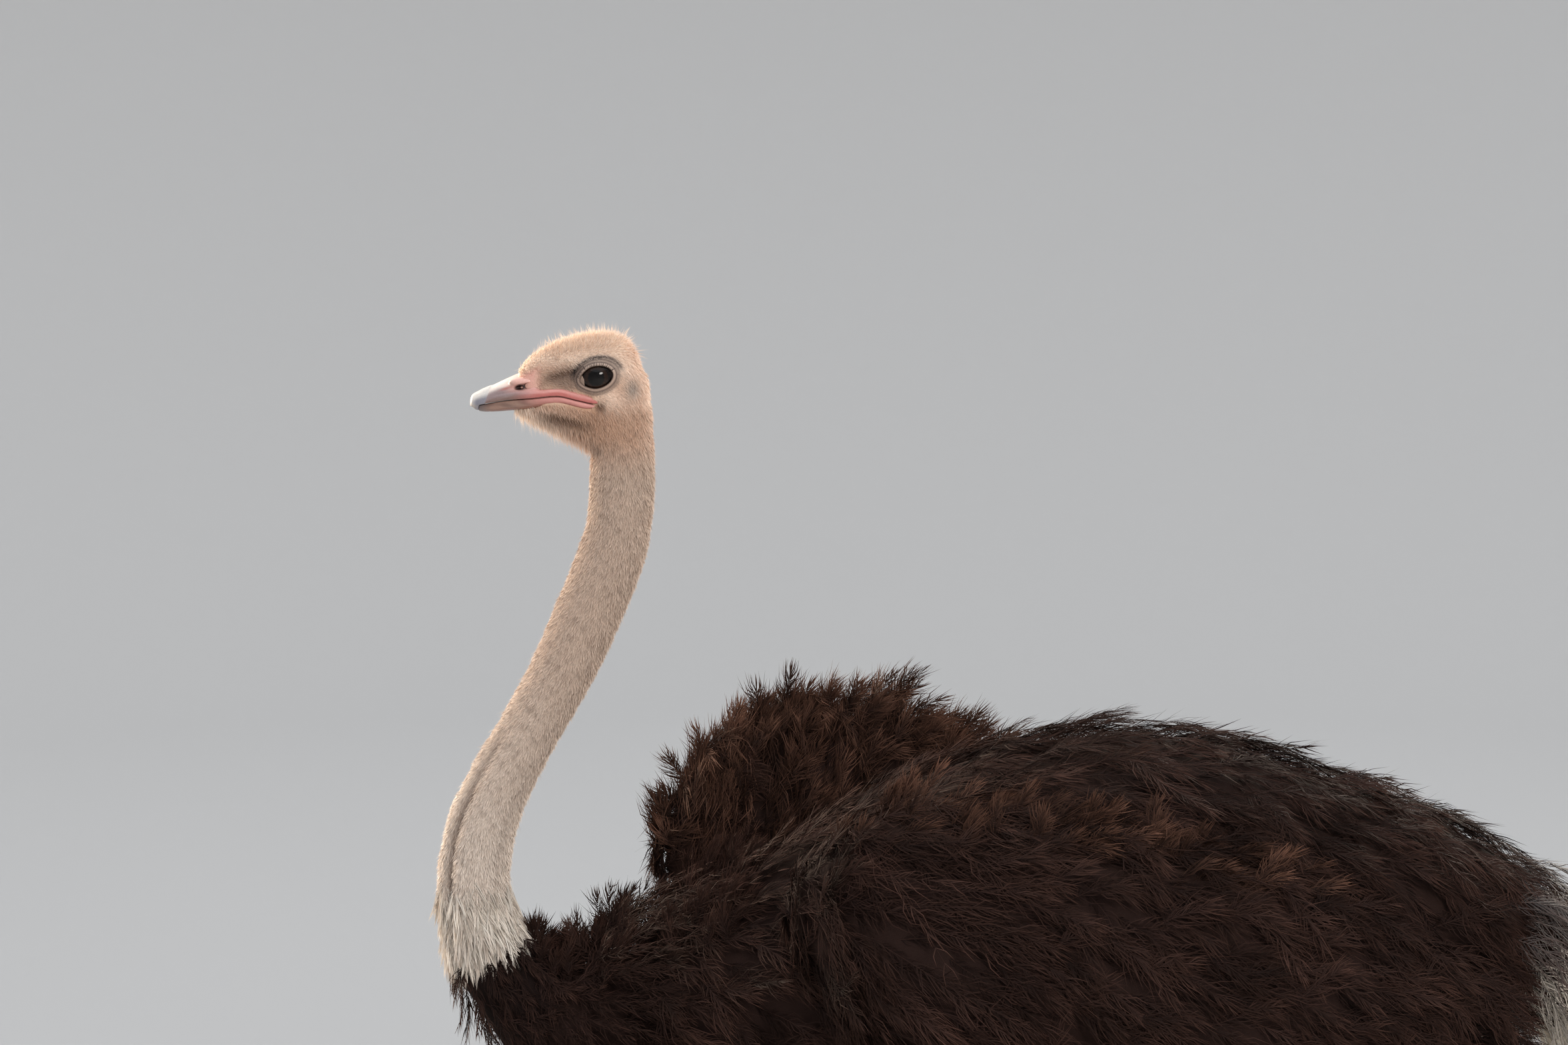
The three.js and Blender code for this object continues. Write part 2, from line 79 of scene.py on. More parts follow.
# x, height above the mouth line, half width, roundness of the ridge.
BILL_UPPER = [
    (-371, 13, 10, 2.2),
    (-362, 17, 15, 2.1),
    (-346, 20.5, 19.5, 1.9),
    (-330, 25.5, 23.5, 1.8),
    (-316, 29.5, 27, 1.8),
    (-300, 25, 31, 2.0),
    (-280, 11, 36, 2.4),
    (-258, 9.5, 39.5, 2.4),
    (-232, 9, 41.5, 2.4),
]
# x, depth below the mouth line, half width, roundness.
BILL_LOWER = [
    (-367, 5.5, 8.5, 2.3),
    (-357, 8.5, 13.5, 2.3),
    (-340, 11, 19, 2.3),
    (-318, 12, 25, 2.4),
    (-296, 14, 30, 2.4),
    (-268, 14, 36.5, 2.4),
    (-246, 9, 39.5, 2.4),
    (-236, 6, 40.5, 2.4),
]
# The neck out to the tips of its down. x, z, half depth, half width.
NECK = [
    (-194, 1690, 36, 33),
    (-194, 1645, 41, 36),
    (-196, 1580, 42, 36),
    (-206, 1525, 43, 37),
    (-229, 1466, 43.5, 38),
    (-266, 1384, 41.5, 38),
    (-303, 1317, 40, 38),
    (-343, 1247, 42, 39),
    (-366, 1194, 45, 40),
    (-377, 1138, 45.5, 41),
    (-374, 1085, 46.5, 42),
    (-358, 1036, 56, 47),
    (-332, 999, 68, 58),
    (-290, 957, 82, 74),
    (-222, 940, 114, 98),
    (-150, 956, 148, 124),
]
GULLET = dict(angle=2.35, width=0.2, depth=0.17, start=5.6, full=8.2, end=9.9, gone=11.0)
DOWN_DEPTH = 5.0
# The trunk out to the tips of its feathers. x, top, bottom, half width, squareness.
TRUNK = [
    (-205, 975, 846, 62, 2.0),
    (-165, 1066, 808, 112, 2.0),
    (-95, 1126, 780, 160, 2.1),
    (10, 1184, 766, 204, 2.15),
    (120, 1246, 764, 230, 2.2),
    (240, 1292, 770, 243, 2.25),
    (400, 1319, 784, 245, 2.25),
    (550, 1302, 806, 228, 2.2),
    (690, 1258, 840, 193, 2.15),
    (800, 1216, 884, 150, 2.1),
    (880, 1170, 936, 104, 2.05),
]
PLUMAGE_DEPTH = 24.0
WING_DEPTH = 20.0
TAIL_DEPTH = 46.0
# The wings and their plumes. x, y outwards, z, half height, half thickness, and how far their upper
# edge leans in, in degrees.
WING_FOLDED = [
    (20, 176, 1124, 58, 36, 16),
    (60, 204, 1122, 104, 52, 20),
    (104, 220, 1117, 140, 58, 22),
    (176, 234, 1106, 164, 62, 24),
    (300, 242, 1088, 166, 62, 24),
    (430, 242, 1070, 160, 58, 22),
    (570, 226, 1050, 140, 52, 20),
    (700, 196, 1028, 104, 46, 18),
    (800, 158, 1010, 62, 38, 16),
]
WING_RAISED = [
    (-148, 176, 1120, 62, 34, -2),
    (-104, 194, 1136, 110, 44, -3),
    (-32, 212, 1148, 152, 50, -4),
    (60, 226, 1148, 162, 54, 0),
    (136, 236, 1138, 168, 58, 6),
    (184, 242, 1118, 158, 60, 12),
    (300, 242, 1090, 164, 62, 20),
    (430, 242, 1070, 160, 58, 22),
    (570, 226, 1050, 140, 52, 20),
    (700, 196, 1028, 104, 46, 18),
    (800, 158, 1010, 62, 38, 16),
]
WING_PLUMES = [
    (490, 214, 930, 66, 38, 0),
    (580, 226, 902, 100, 48, 4),
    (690, 216, 874, 118, 52, 8),
    (800, 182, 848, 112, 50, 10),
    (896, 140, 822, 78, 40, 10),
]
# The tail. x, z, half depth, half width.
TAIL = [
    (780, 1070, 118, 118),
    (856, 1060, 110, 124),
    (930, 1024, 106, 134),
    (1000, 966, 104, 140),
    (1058, 896, 94, 132),
    (1096, 828, 68, 98),
]
# A leg from the hip down to the knuckle. x, outwards, z, half depth, half width.
LEG = [
    (470, 138, 1010, 128, 76),
    (446, 148, 930, 156, 92),
    (446, 152, 852, 146, 92),
    (464, 150, 774, 116, 80),
    (490, 144, 694, 84, 63),
    (517, 136, 614, 56, 46),
    (538, 129, 548, 41, 36),
    (548, 125, 500, 42, 36),
    (541, 123, 452, 36, 31),
    (523, 122, 376, 27, 23),
    (503, 122, 290, 24.5, 20.5),
    (484, 122, 204, 25, 21),
    (466, 122, 124, 28.5, 24),
    (454, 122, 66, 35, 29),
]
STEP = {-1: -34, 1: 30}
# Toes. Distance ahead of the knuckle, height of the back, half width.
BIG_TOE = [
    (-30, 40, 22),
    (-8, 62, 31),
    (36, 54, 30),
    (70, 42, 26),
    (102, 44, 27),
    (134, 33, 22),
    (152, 26, 16),
]
SMALL_TOE = [(8, 44, 17), (34, 38, 19), (60, 29, 16), (84, 29, 17), (104, 20, 11)]
BIG_CLAW = dict(start=150, length=56, height=25, width=14)
SMALL_CLAW = dict(start=103, length=20, height=13, width=6)
SMALL_TOE_TURN = math.radians(22)
TOE_SHIFT = 24
SOLE_PRESS = 10
NECK_END = -120         # head and neck lie ahead of this
LEGS = (250, 640)       # the legs lie between these
SIDES = {"left": -1, "right": 1}


def table_shift():
    """From the tables' millimetres to the frame's metres: the eyes' middle is known in both."""
    low = np.minimum(*(np.array(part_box(f"eye_{side}")[0]) for side in SIDES))
    high = np.maximum(*(np.array(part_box(f"eye_{side}")[1]) for side in SIDES))
    return (low + high) / 2 - np.array([EYE["x"], 0, EYE["z"]]) * MM


SHIFT = table_shift()

# ---- Numbers and curves ------------------------------------------------------------------------


def along(table, place):
    """The rows of a table at places between its stations, smooth through every station."""
    rows = np.asarray(table, float)
    last = len(rows) - 1
    place = np.clip(np.asarray(place, float), 0, last)
    i = np.minimum(place.astype(int), last - 1)
    t = (place - i)[..., None]
    a, b, c, d = (rows[np.clip(i + k, 0, last)] for k in (-1, 0, 1, 2))
    slope_b = np.where((i == 0)[..., None], c - b, (c - a) / 2)
    slope_c = np.where((i + 1 == last)[..., None], c - b, (d - b) / 2)
    t2, t3 = t * t, t * t * t
    start = (2 * t3 - 3 * t2 + 1) * b + (t3 - 2 * t2 + t) * slope_b
    return start + (3 * t2 - 2 * t3) * c + (t3 - t2) * slope_c


def place_of(table, value):
    """The places in a table at which its first column has the given values."""
    column = np.array([row[0] for row in table], float)
    return np.interp(value, column, np.arange(len(column)))


def smoothstep(low, high, value):
    t = np.clip((value - low) / (high - low), 0, 1)
    return t * t * (3 - 2 * t)


def unit(vectors):
    return vectors / np.maximum(np.linalg.norm(vectors, axis=-1, keepdims=True), 1e-9)


def power(value, exponent):
    return np.sign(value) * np.abs(value) ** (2 / exponent)


def bump(distance, width):
    return np.exp(-((distance / width) ** 2))


def srgb(red, green, blue):
    """A colour as a shader takes it, from its 0 to 255 values on a screen."""
    value = np.array([red, green, blue], float) / 255
    return np.where(value <= 0.04045, value / 12.92, ((value + 0.055) / 1.055) ** 2.4)


def mix(a, b, share):
    share = np.asarray(share)[..., None]
    return a * (1 - share) + b * share


def waves(points, size, seed):
    """A smooth random field between about -1 and 1, whose lumps are about size across."""
    rng = np.random.default_rng(seed)
    total = np.zeros(points.shape[:-1])
    for _ in range(7):
        direction = unit(rng.normal(size=3)) * TAU / (size * rng.uniform(1.2, 2.6))
        total += np.sin(points @ direction + rng.uniform(0, TAU))
    return total / 3.2


# ---- Bodies: rings of points round an axis -----------------------------------------------------


class Body:
    """A rounded body round an axis.

    place runs along its table, turn round it, from the upper side to its right.
    """

    def __init__(self, table, lay, fold=None, dome=0.0):
        self.table = table
        self.lay = lay
        self.fold = fold
        self.dome = dome
        self.last = len(table) - 1

    def at(self, place, turn, depth=0.0, scale=1.0, push=0.0):
        """Points of the surface, depth below the tips. Places under 0 go over the front dome."""
        place, turn = np.broadcast_arrays(np.asarray(place, float), np.asarray(turn, float))
        arc = np.clip(-place, 0, 1) * 0.49 * math.pi
        scale, depth = scale * np.cos(arc), depth * np.cos(arc)
        push = push - (self.dome - depth * 0.3) * np.sin(arc)
        place = np.maximum(place, 0.0)
        centre, ahead, up, side, tall, wide, square = self.lay(self.table, place)
        fold = 1.0 if self.fold is None else self.fold(place, turn)
        high = power(np.cos(turn), square) * (tall * fold * scale - depth)
        across = power(np.sin(turn), square) * (wide * fold * scale - depth)
        push = np.broadcast_to(push, place.shape)[..., None]
        return centre + ahead * push + up * high[..., None] + side * across[..., None]

    def frame_at(self, place, turn, depth=0.0):
        """Points, outward normals, and the change of the point with place and with turn."""
        step = 0.02
        point = self.at(place, turn, depth)
        low, high = np.clip(place - step, -1, self.last), np.clip(place + step, -1, self.last)
        by_place = self.at(high, turn, depth) - self.at(low, turn, depth)
        by_place = by_place / (high - low)[..., None]
        by_turn = self.at(place, turn + step, depth) - self.at(place, turn - step, depth)
        by_turn = by_turn / (2 * step)
        normal = unit(np.cross(by_place, by_turn))
        centre = self.lay(self.table, np.clip(place, 0.3, self.last))[0]
        facing = np.sign(np.sum(normal * (point - centre), -1, keepdims=True))
        return point, normal * np.where(facing == 0, 1, facing), by_place, by_turn

    def rings(self, start, end, count, sides, depth=0.0, domes=(0, 0), dome_rings=5):
        """A grid of points over the whole body, each end rounded off by a dome of that length."""
        turns = np.linspace(0, TAU, sides, endpoint=False)
        arc = np.arange(1, dome_rings + 1) / dome_rings * 0.49 * math.pi
        places = [np.linspace(start, end, count)]
        scales, pushes = [np.ones(count)], [np.zeros(count)]
        if domes[0]:
            places.insert(0, np.full(dome_rings, float(start)))
            scales.insert(0, np.cos(arc[::-1]))
            pushes.insert(0, -domes[0] * np.sin(arc[::-1]))
        if domes[1]:
            places.append(np.full(dome_rings, float(end)))
            scales.append(np.cos(arc))
            pushes.append(domes[1] * np.sin(arc))
        place, scale, push = (np.concatenate(v)[:, None] for v in (places, scales, pushes))
        push = np.broadcast_to(push, (len(place), sides))
        return self.at(place, turns[None, :], depth * scale, scale, push)


def axis_lay(columns, sizes, across=0.0, square=2.0):
    """A lay for a body whose rings stand square to its axis.

    columns are those of x, z and, where there is a third, y, which is taken times across.
    """

    def lay(table, place):
        def middle(where):
            rows = along(table, where)
            y = rows[..., columns[2]] * across if len(columns) > 2 else np.zeros(rows.shape[:-1])
            return np.stack([rows[..., columns[0]], y, rows[..., columns[1]]], -1)

        rows = along(table, place)
        last = len(table) - 1
        after, before = np.clip(place + 0.05, 0, last), np.clip(place - 0.05, 0, last)
        ahead = unit(middle(after) - middle(before))
        up = unit(np.cross(ahead, np.array([0.0, 1.0, 0.0])))
        side = np.cross(up, ahead)
        return middle(place), ahead, up, side, rows[..., sizes[0]], rows[..., sizes[1]], square

    return lay


def upright_frames(x, z):
    """Middles on the bird's middle plane, and the ways ahead, up and outwards of upright rings."""
    zero, one = np.zeros(x.shape), np.ones(x.shape)
    axes = ((x, zero, z), (one, zero, zero), (zero, zero, one), (zero, one, zero))
    return tuple(np.stack(axis, -1) for axis in axes)


def upright_lay(table, place):
    """A lay for rings that stand upright across x: x, top, bottom, half width, squareness."""
    x, top, bottom, half_width, square = np.moveaxis(along(table, place), -1, 0)
    return *upright_frames(x, (top + bottom) / 2), (top - bottom) / 2, half_width, square


def wing_lay(side_sign):
    """A lay for a flat leaning body at one side of the trunk."""

    def lay(table, place):
        rows = along(table, place)
        tilt = np.radians(rows[..., 5])
        zero, one = np.zeros(tilt.shape), np.ones(tilt.shape)
        centre = np.stack([rows[..., 0], side_sign * rows[..., 1], rows[..., 2]], -1)
        ahead = np.stack([one, zero, zero], -1)
        up = np.stack([zero, -side_sign * np.sin(tilt), np.cos(tilt)], -1)
        side = np.stack([zero, side_sign * np.cos(tilt), np.sin(tilt)], -1)
        return centre, ahead, up, side, rows[..., 3], rows[..., 4], 2.2

    return lay


def gullet_fold(place, turn):
    """The two long grooves that part the windpipe from the neck, and a faint one near the nape."""
    share = smoothstep(GULLET["start"], GULLET["full"], place)
    share = share * (1 - smoothstep(GULLET["end"], GULLET["gone"], place))
    turn = np.mod(turn, TAU)
    off = np.minimum(np.abs(turn - GULLET["angle"]), np.abs(TAU - turn - GULLET["angle"]))
    nape = np.minimum(np.abs(turn - 0.75), np.abs(TAU - turn - 0.75))
    return 1 - share * (GULLET["depth"] * bump(off, GULLET["width"]) + 0.035 * bump(nape, 0.16))


def toe_body(table, root, turn):
    """A toe, pressed flat on the ground, pointing away from its root."""
    forward = np.array([-math.cos(turn), -math.sin(turn), 0.0])

    def lay(rows_table, place):
        rows = along(rows_table, place)
        height = (rows[..., 1] - SOLE_PRESS) / 2
        centre = np.array([root[0], root[1], 0.0]) + forward * rows[..., :1]
        centre = centre + np.array([0.0, 0.0, 1.0]) * height[..., None]
        up = np.broadcast_to(np.array([0.0, 0.0, 1.0]), centre.shape)
        side = np.broadcast_to(np.cross(up, -forward), centre.shape)
        ahead = np.broadcast_to(forward, centre.shape)
        return centre, ahead, up, side, (rows[..., 1] + SOLE_PRESS) / 2, rows[..., 2], 2.6

    return Body(table, lay)


def foot_roots(side_sign):
    """Where on the ground the big and the small toe of a foot begin."""
    knuckle = LEG[-1]
    x = knuckle[0] + STEP[side_sign]
    return (x, side_sign * knuckle[1]), (x, side_sign * (knuckle[1] + TOE_SHIFT))


def claw_table(start, length, height, width):
    """A claw as a toe's table, tapering to a blunt tip."""
    return [
        (start + s * length, height * math.sqrt(1 - 0.86 * s), width * math.sqrt(1 - 0.9 * s))
        for s in np.linspace(0, 1, 7)
    ]


def leg_table(side_sign):
    """The leg's table with its foot moved ahead or back by the bird's step."""
    last = len(LEG) - 1
    return [(x + STEP[side_sign] * i / last, *rest) for i, (x, *rest) in enumerate(LEG)]


NECK_BODY = Body(NECK, axis_lay((0, 1), (2, 3)), gullet_fold)
TRUNK_BODY = Body(TRUNK, upright_lay)
CRANIUM_BODY = Body(CRANIUM, upright_lay)
TAIL_BODY = Body(TAIL, axis_lay((0, 1), (2, 3), square=2.3))
LEG_BODY = {s: Body(leg_table(s), axis_lay((0, 2, 1), (3, 4), across=s)) for s in (-1, 1)}
WING_BODY = {s: Body(w, wing_lay(s), dome=18) for s, w in ((-1, WING_FOLDED), (1, WING_RAISED))}
PLUME_BODY = {s: Body(WING_PLUMES, wing_lay(s), dome=26) for s in (-1, 1)}

# ---- Meshes ------------------------------------------------------------------------------------


def grid_faces(rows, sides, closed=True):
    """The four-cornered faces of a grid of points."""
    i = np.arange(rows - 1)[:, None] * sides
    j = np.arange(sides if closed else sides - 1)[None, :]
    a, b = i + j, i + (j + 1) % sides
    return np.stack([a, b, b + sides, a + sides], -1).reshape(-1, 4)


def closed_mesh(grid):
    """Points and faces of a grid whose two ends are closed by fans."""
    rows, sides = grid.shape[:2]
    points = np.concatenate([grid.reshape(-1, 3), grid[:1].mean(1), grid[-1:].mean(1)])
    quads = grid_faces(rows, sides)
    k = np.arange(sides)
    first, last, tail = rows * sides, rows * sides + 1, (rows - 1) * sides
    start = np.stack([np.full(sides, first), (k + 1) % sides, k], -1)
    end = np.stack([np.full(sides, last), tail + k, tail + (k + 1) % sides], -1)
    return points, quads, np.concatenate([start, end])


def new_object(name, points, quads=None, triangles=None, smooth=True):
    """A Blender object at the origin, from points in the tables' millimetres."""
    mesh = bpy.data.meshes.new(name)
    faces = [f for f in (quads, triangles) if f is not None and len(f)]
    loops = np.concatenate([f.reshape(-1) for f in faces]).astype(np.int32)
    sizes = np.concatenate([np.full(len(f), f.shape[1]) for f in faces]).astype(np.int32)
    starts = np.concatenate([[0], np.cumsum(sizes)[:-1]]).astype(np.int32)
    mesh.vertices.add(len(points))
    mesh.vertices.foreach_set("co", (points * MM + SHIFT).astype(np.float32).reshape(-1))
    mesh.loops.add(len(loops))
    mesh.loops.foreach_set("vertex_index", loops)
    mesh.polygons.add(len(sizes))
    mesh.polygons.foreach_set("loop_start", starts)
    mesh.polygons.foreach_set("use_smooth", np.full(len(sizes), smooth))
    mesh.update(calc_edges=True)
    piece = bpy.data.objects.new(name, mesh)
    bpy.context.scene.collection.objects.link(piece)
    return piece


def outward(piece):
    """Turns a closed piece's faces out."""
    mesh = piece.data
    points = read_points(mesh)
    mesh.calc_loop_triangles()
    tris = np.zeros(len(mesh.loop_triangles) * 3, np.int32)
    mesh.loop_triangles.foreach_get("vertices", tris)
    a, b, c = (points[tris.reshape(-1, 3)[:, k]] for k in range(3))
    if np.sum(a * np.cross(b, c)) < 0:
        mesh.flip_normals()
    return piece


def read_points(mesh):
    points = np.zeros(len(mesh.vertices) * 3, np.float32)
    mesh.vertices.foreach_get("co", points)
    return points.reshape(-1, 3).astype(float)


def read_table_points(mesh):
    """A mesh's points in the tables' millimetres."""
    return (read_points(mesh) - SHIFT) / MM


def write_colours(mesh, colours, name="tint"):
    layer = mesh.color_attributes.new(name, "FLOAT_COLOR", "POINT")
    rgba = np.ones((len(mesh.vertices), 4), np.float32)
    rgba[:, :3] = colours
    layer.data.foreach_set("color", rgba.reshape(-1))


def finish_piece(piece, material, slot, *nodes):
    """Gives a piece its material, says what it rides on, and hides the solids that it stands for.
    """
    piece.data.materials.clear()
    piece.data.materials.append(material)
    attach(piece, "root")
    if nodes:
        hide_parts(*nodes)
    return piece


# ---- Smooth joins: solids as distances on a grid of small cells --------------------------------


class Cells:
    """A box of small cells. A solid is every cell's distance from its surface, negative inside."""

    def __init__(self, low, high, size, band=8):
        self.size = size
        self.band = band
        self.low = np.floor(np.array(low) / size).astype(int)
        self.shape = tuple(np.ceil(np.array(high) / size).astype(int) - self.low)
        spans = (np.arange(first, first + n) * size for first, n in zip(self.low, self.shape))
        self.x, self.y, self.z = np.ix_(*(span.astype(np.float32) for span in spans))

    def solid(self, grid):
        points, quads, triangles = closed_mesh(grid)
        made = openvdb.FloatGrid.createLevelSetFromPolygons(
            points.astype(np.float32),
            triangles=triangles.astype(np.uint32),
            quads=quads.astype(np.uint32),
            transform=openvdb.createLinearTransform(voxelSize=self.size),
            halfWidth=self.band,
        )
        field = np.zeros(self.shape, np.float32)
        made.copyToArray(field, ijk=self.first_cell())
        return field

    def first_cell(self):
        return tuple(int(v) for v in self.low)

    def ellipsoid(self, centre, radii):
        x, y, z = ((axis - c) for axis, c in zip((self.x, self.y, self.z), centre))
        k0 = np.sqrt((x / radii[0]) ** 2 + (y / radii[1]) ** 2 + (z / radii[2]) ** 2)
        k1 = np.sqrt((x / radii[0] ** 2) ** 2 + (y / radii[1] ** 2) ** 2 + (z / radii[2] ** 2) ** 2)
        return k0 * (k0 - 1) / np.maximum(k1, 1e-6)

    def surface(self, field):
        """Points and faces of the surface where the distance is nought."""
        limit = self.band * self.size
        grid = openvdb.FloatGrid()
        grid.background = limit
        clipped = np.clip(field, -limit, limit).astype(np.float32)
        grid.copyFromArray(clipped, ijk=self.first_cell())
        grid.transform = openvdb.createLinearTransform(voxelSize=self.size)
        points, quads = grid.convertToQuads(0.0)
        return points.astype(float), quads.astype(int)


def join(a, b, blend):
    """Two solids as one, with a fillet of about that size between them."""
    h = np.clip(0.5 + 0.5 * (b - a) / blend, 0, 1)
    return b * (1 - h) + a * h - blend * h * (1 - h)


def carve(a, b, blend):
    """The solid a without b, its new edges rounded."""
    return -join(-a, b, blend)


def piece_of(cells, name, field):
    """The biggest shell of the surface as a piece, nowhere under the ground."""
    points, quads = largest_shell(*cells.surface(field))
    points[:, 2] = np.maximum(points[:, 2], 0.0)
    return outward(new_object(name, points, quads))


def largest_shell(points, quads):
    """The points and faces of the biggest connected shell alone."""
    label = np.arange(len(points))
    while True:
        lowest = label[quads].min(1)
        updated = label.copy()
        np.minimum.at(updated, quads.reshape(-1), np.repeat(lowest, 4))
        updated = updated[updated]
        if np.array_equal(updated, label):
            break
        label = updated
    names, counts = np.unique(label, return_counts=True)
    keep = label == names[counts.argmax()]
    index = np.cumsum(keep) - 1
    return points[keep], index[quads[keep[quads[:, 0]]]]


# ---- Skin --------------------------------------------------------------------------------------

# Where the head's part of the skin goes over into the neck's, and the neck's into the trunk's:
# places in the neck's table, and by height how much each part is narrowed so that one dips under
# the other.
SPLICE = (2.0, 2.75)
SPLICE_THROAT = ((1548, 1576), (0.95, 1.0))
SPLICE_NECK = ((1548, 1576), (1.0, 0.95))
SHOULDER = (11.2, 11.9)


def narrowed(grid, shares):
    """Rings drawn in towards their own middles, each by its share."""
    centre = grid.mean(1, keepdims=True)
    return centre + (grid - centre) * np.asarray(shares)[:, None, None]


def coat_depth(place):
    """How deep the coat lies at a place on the neck: down, then the feathers of its base."""
    return DOWN_DEPTH + (PLUMAGE_DEPTH - DOWN_DEPTH) * smoothstep(10.3, 14.8, place)


def bare_share(place):
    """What is left of the neck's girth where its coat is deeper than down."""
    size = along(NECK, place)[:, 2:].mean(1) - DOWN_DEPTH
    return 1 - (coat_depth(place) - DOWN_DEPTH) / size


def lid_frame(x, z):
    """Where a point of the head lies along and over the middle of the eye's opening."""
    cos, sin = math.cos(LID["tilt"]), math.sin(LID["tilt"])
    return (x - LID["x"]) * cos + (z - LID["z"]) * sin, (z - LID["z"]) * cos - (x - LID["x"]) * sin


def lid_distance(x, z):
    """How far a point of the head lies outside the opening between the lids, seen from the side."""
    along_lid, over_lid = lid_frame(x, z)
    height = LID["height"] * (1 - 0.28 * np.clip(-along_lid / LID["length"], 0, 1) ** 2)
    k0 = np.sqrt((along_lid / LID["length"]) ** 2 + (over_lid / height) ** 2)
    k1 = np.sqrt((along_lid / LID["length"] ** 2) ** 2 + (over_lid / height ** 2) ** 2)
    return k0 * (k0 - 1) / np.maximum(k1, 1e-6)


def mirrored(cells, centre, radii):
    """Two ellipsoids, one at each side of the head, as one field."""
    x, y, z = centre
    return np.minimum(cells.ellipsoid((x, y, z), radii), cells.ellipsoid((x, -y, z), radii))


# Forms of the head, at both its sides: middle, radii and the width of the blend.
SWELLINGS = (
    ((-206, 19, 1694), (27, 20, 25), 14),
    ((-230, 30, 1757), (34, 9.5, 8), 10),
    ((-258, 25, 1712), (34, 11, 9), 10),
)
HOLLOWS = (
    ((-266, 47, 1733), (19, 11, 13), 14),
    ((-192, 52, 1722), (13, 11, 13), 12),
)
# Creases of the lid: distance from its opening, width, depth.
LID_CREASES = ((4.2, 0.9, 0.9), (7.6, 1.2, 0.6), (11.5, 1.5, 0.45))
# Curved folds behind the mouth: their middle and least radius, and each one's lean and reach.
FOLD_MIDDLE = (-246, 1708)
FOLD_RADIUS = 24
MOUTH_FOLDS = ((0.5, 9), (1.15, 15), (1.9, 22))


def head_skin():
    """The head and throat: cranium, cheeks, brows, lids, ears and the folds behind the mouth."""
    cells = Cells((-335, -60, 1520), (-140, 60, 1800), 1.3)
    cranium = cells.solid(CRANIUM_BODY.rings(0, CRANIUM_BODY.last, 60, 72, domes=(6, 7)))
    throat = NECK_BODY.rings(0, SPLICE[1], 60, 72, depth=DOWN_DEPTH, domes=(14, 6))
    throat = narrowed(throat, np.interp(throat[..., 2].mean(1), *SPLICE_THROAT))
    field = join(cranium, cells.solid(throat), 13)
    for shape, forms in ((join, SWELLINGS), (carve, HOLLOWS)):
        for middle, radii, blend in forms:
            field = shape(field, mirrored(cells, middle, radii), blend)
    x, y, z = cells.x, cells.y, cells.z
    eye = (EYE["x"], EYE["y"], EYE["z"])
    sizes = np.array([EYE["length"], EYE["depth"], EYE["height"]])
    # Lids: a bulge over each eyeball, cut open.
    opening = lid_distance(x, z)
    ball = mirrored(cells, eye, sizes)
    field = join(field, ball - 2.8 - 0.5 * bump(opening - 1.6, 1.6), 5)
    field = carve(field, np.maximum(opening, 27 - np.abs(y)), 1.6)
    # The third lid, in the front corner of the opening.
    along_lid, over_lid = lid_frame(x, z)
    membrane = np.maximum(along_lid + 14.5 + over_lid ** 2 / 26, np.maximum(ball - 0.8, -3 - ball))
    field = join(field, membrane, 0.8)
    # A trough for the soft rims of the bill.
    jaw = mouth_height(x[:, 0, 0])[:, None, None]
    wide = bill_width(BILL_UPPER, np.minimum(x[:, 0, 0], -232))[:, None, None]
    trough = np.hypot((np.abs(y) - wide - 3.5) / 8.0, (z - jaw + 0.4) / 10.5)
    trough = np.maximum((trough - 1) * 8.0, (x + 229) * 0.6)
    field = carve(field, trough, 3.0)
    # Creases: round the lids, at the corners of the mouth, behind them, and round the ears.
    outside = smoothstep(24, 34, np.abs(y))
    for distance, width, depth in LID_CREASES:
        field = field + outside * depth * bump(opening - distance, width)
    corner = np.sqrt((x + 224) ** 2 + (z - 1703) ** 2)
    field = field + outside * 1.6 * bump(corner, 4.5)
    off_x, off_z = x - FOLD_MIDDLE[0], z - FOLD_MIDDLE[1]
    for lean, reach in MOUTH_FOLDS:
        fold = np.abs(np.hypot(off_x, off_z) - FOLD_RADIUS - reach)
        share = bump(np.arctan2(off_z, off_x) + lean, 0.55)
        field = field + outside * share * 1.1 * bump(fold, 1.5)
    ear = np.sqrt(((x + 183) / 5.0) ** 2 + ((z - 1722) / 7.0) ** 2)
    field = field + outside * 2.4 * bump(ear, 1.0)
    return piece_of(cells, "skin_head", field)


def neck_skin():
    """The neck from under the throat into the shoulders."""
    grid = NECK_BODY.rings(SPLICE[0], SHOULDER[1], 240, 96, depth=DOWN_DEPTH, domes=(6, 8))
    place = np.linspace(SPLICE[0], SHOULDER[1], 240)
    place = np.concatenate([np.full(5, place[0]), place, np.full(5, place[-1])])
    grid = narrowed(grid, np.interp(grid[..., 2].mean(1), *SPLICE_NECK))
    grid = narrowed(grid, bare_share(place))
    grid = narrowed(grid, np.interp(place, SHOULDER, (1.0, 0.93)))
    centre = grid.mean(1, keepdims=True)
    swell = waves(grid, 34, 11) * 0.7 + waves(grid, 13, 12) * 0.35
    grid = grid + unit(grid - centre) * swell[..., None]
    points, quads, triangles = closed_mesh(grid)
    return outward(new_object("skin_neck", points, quads, triangles))


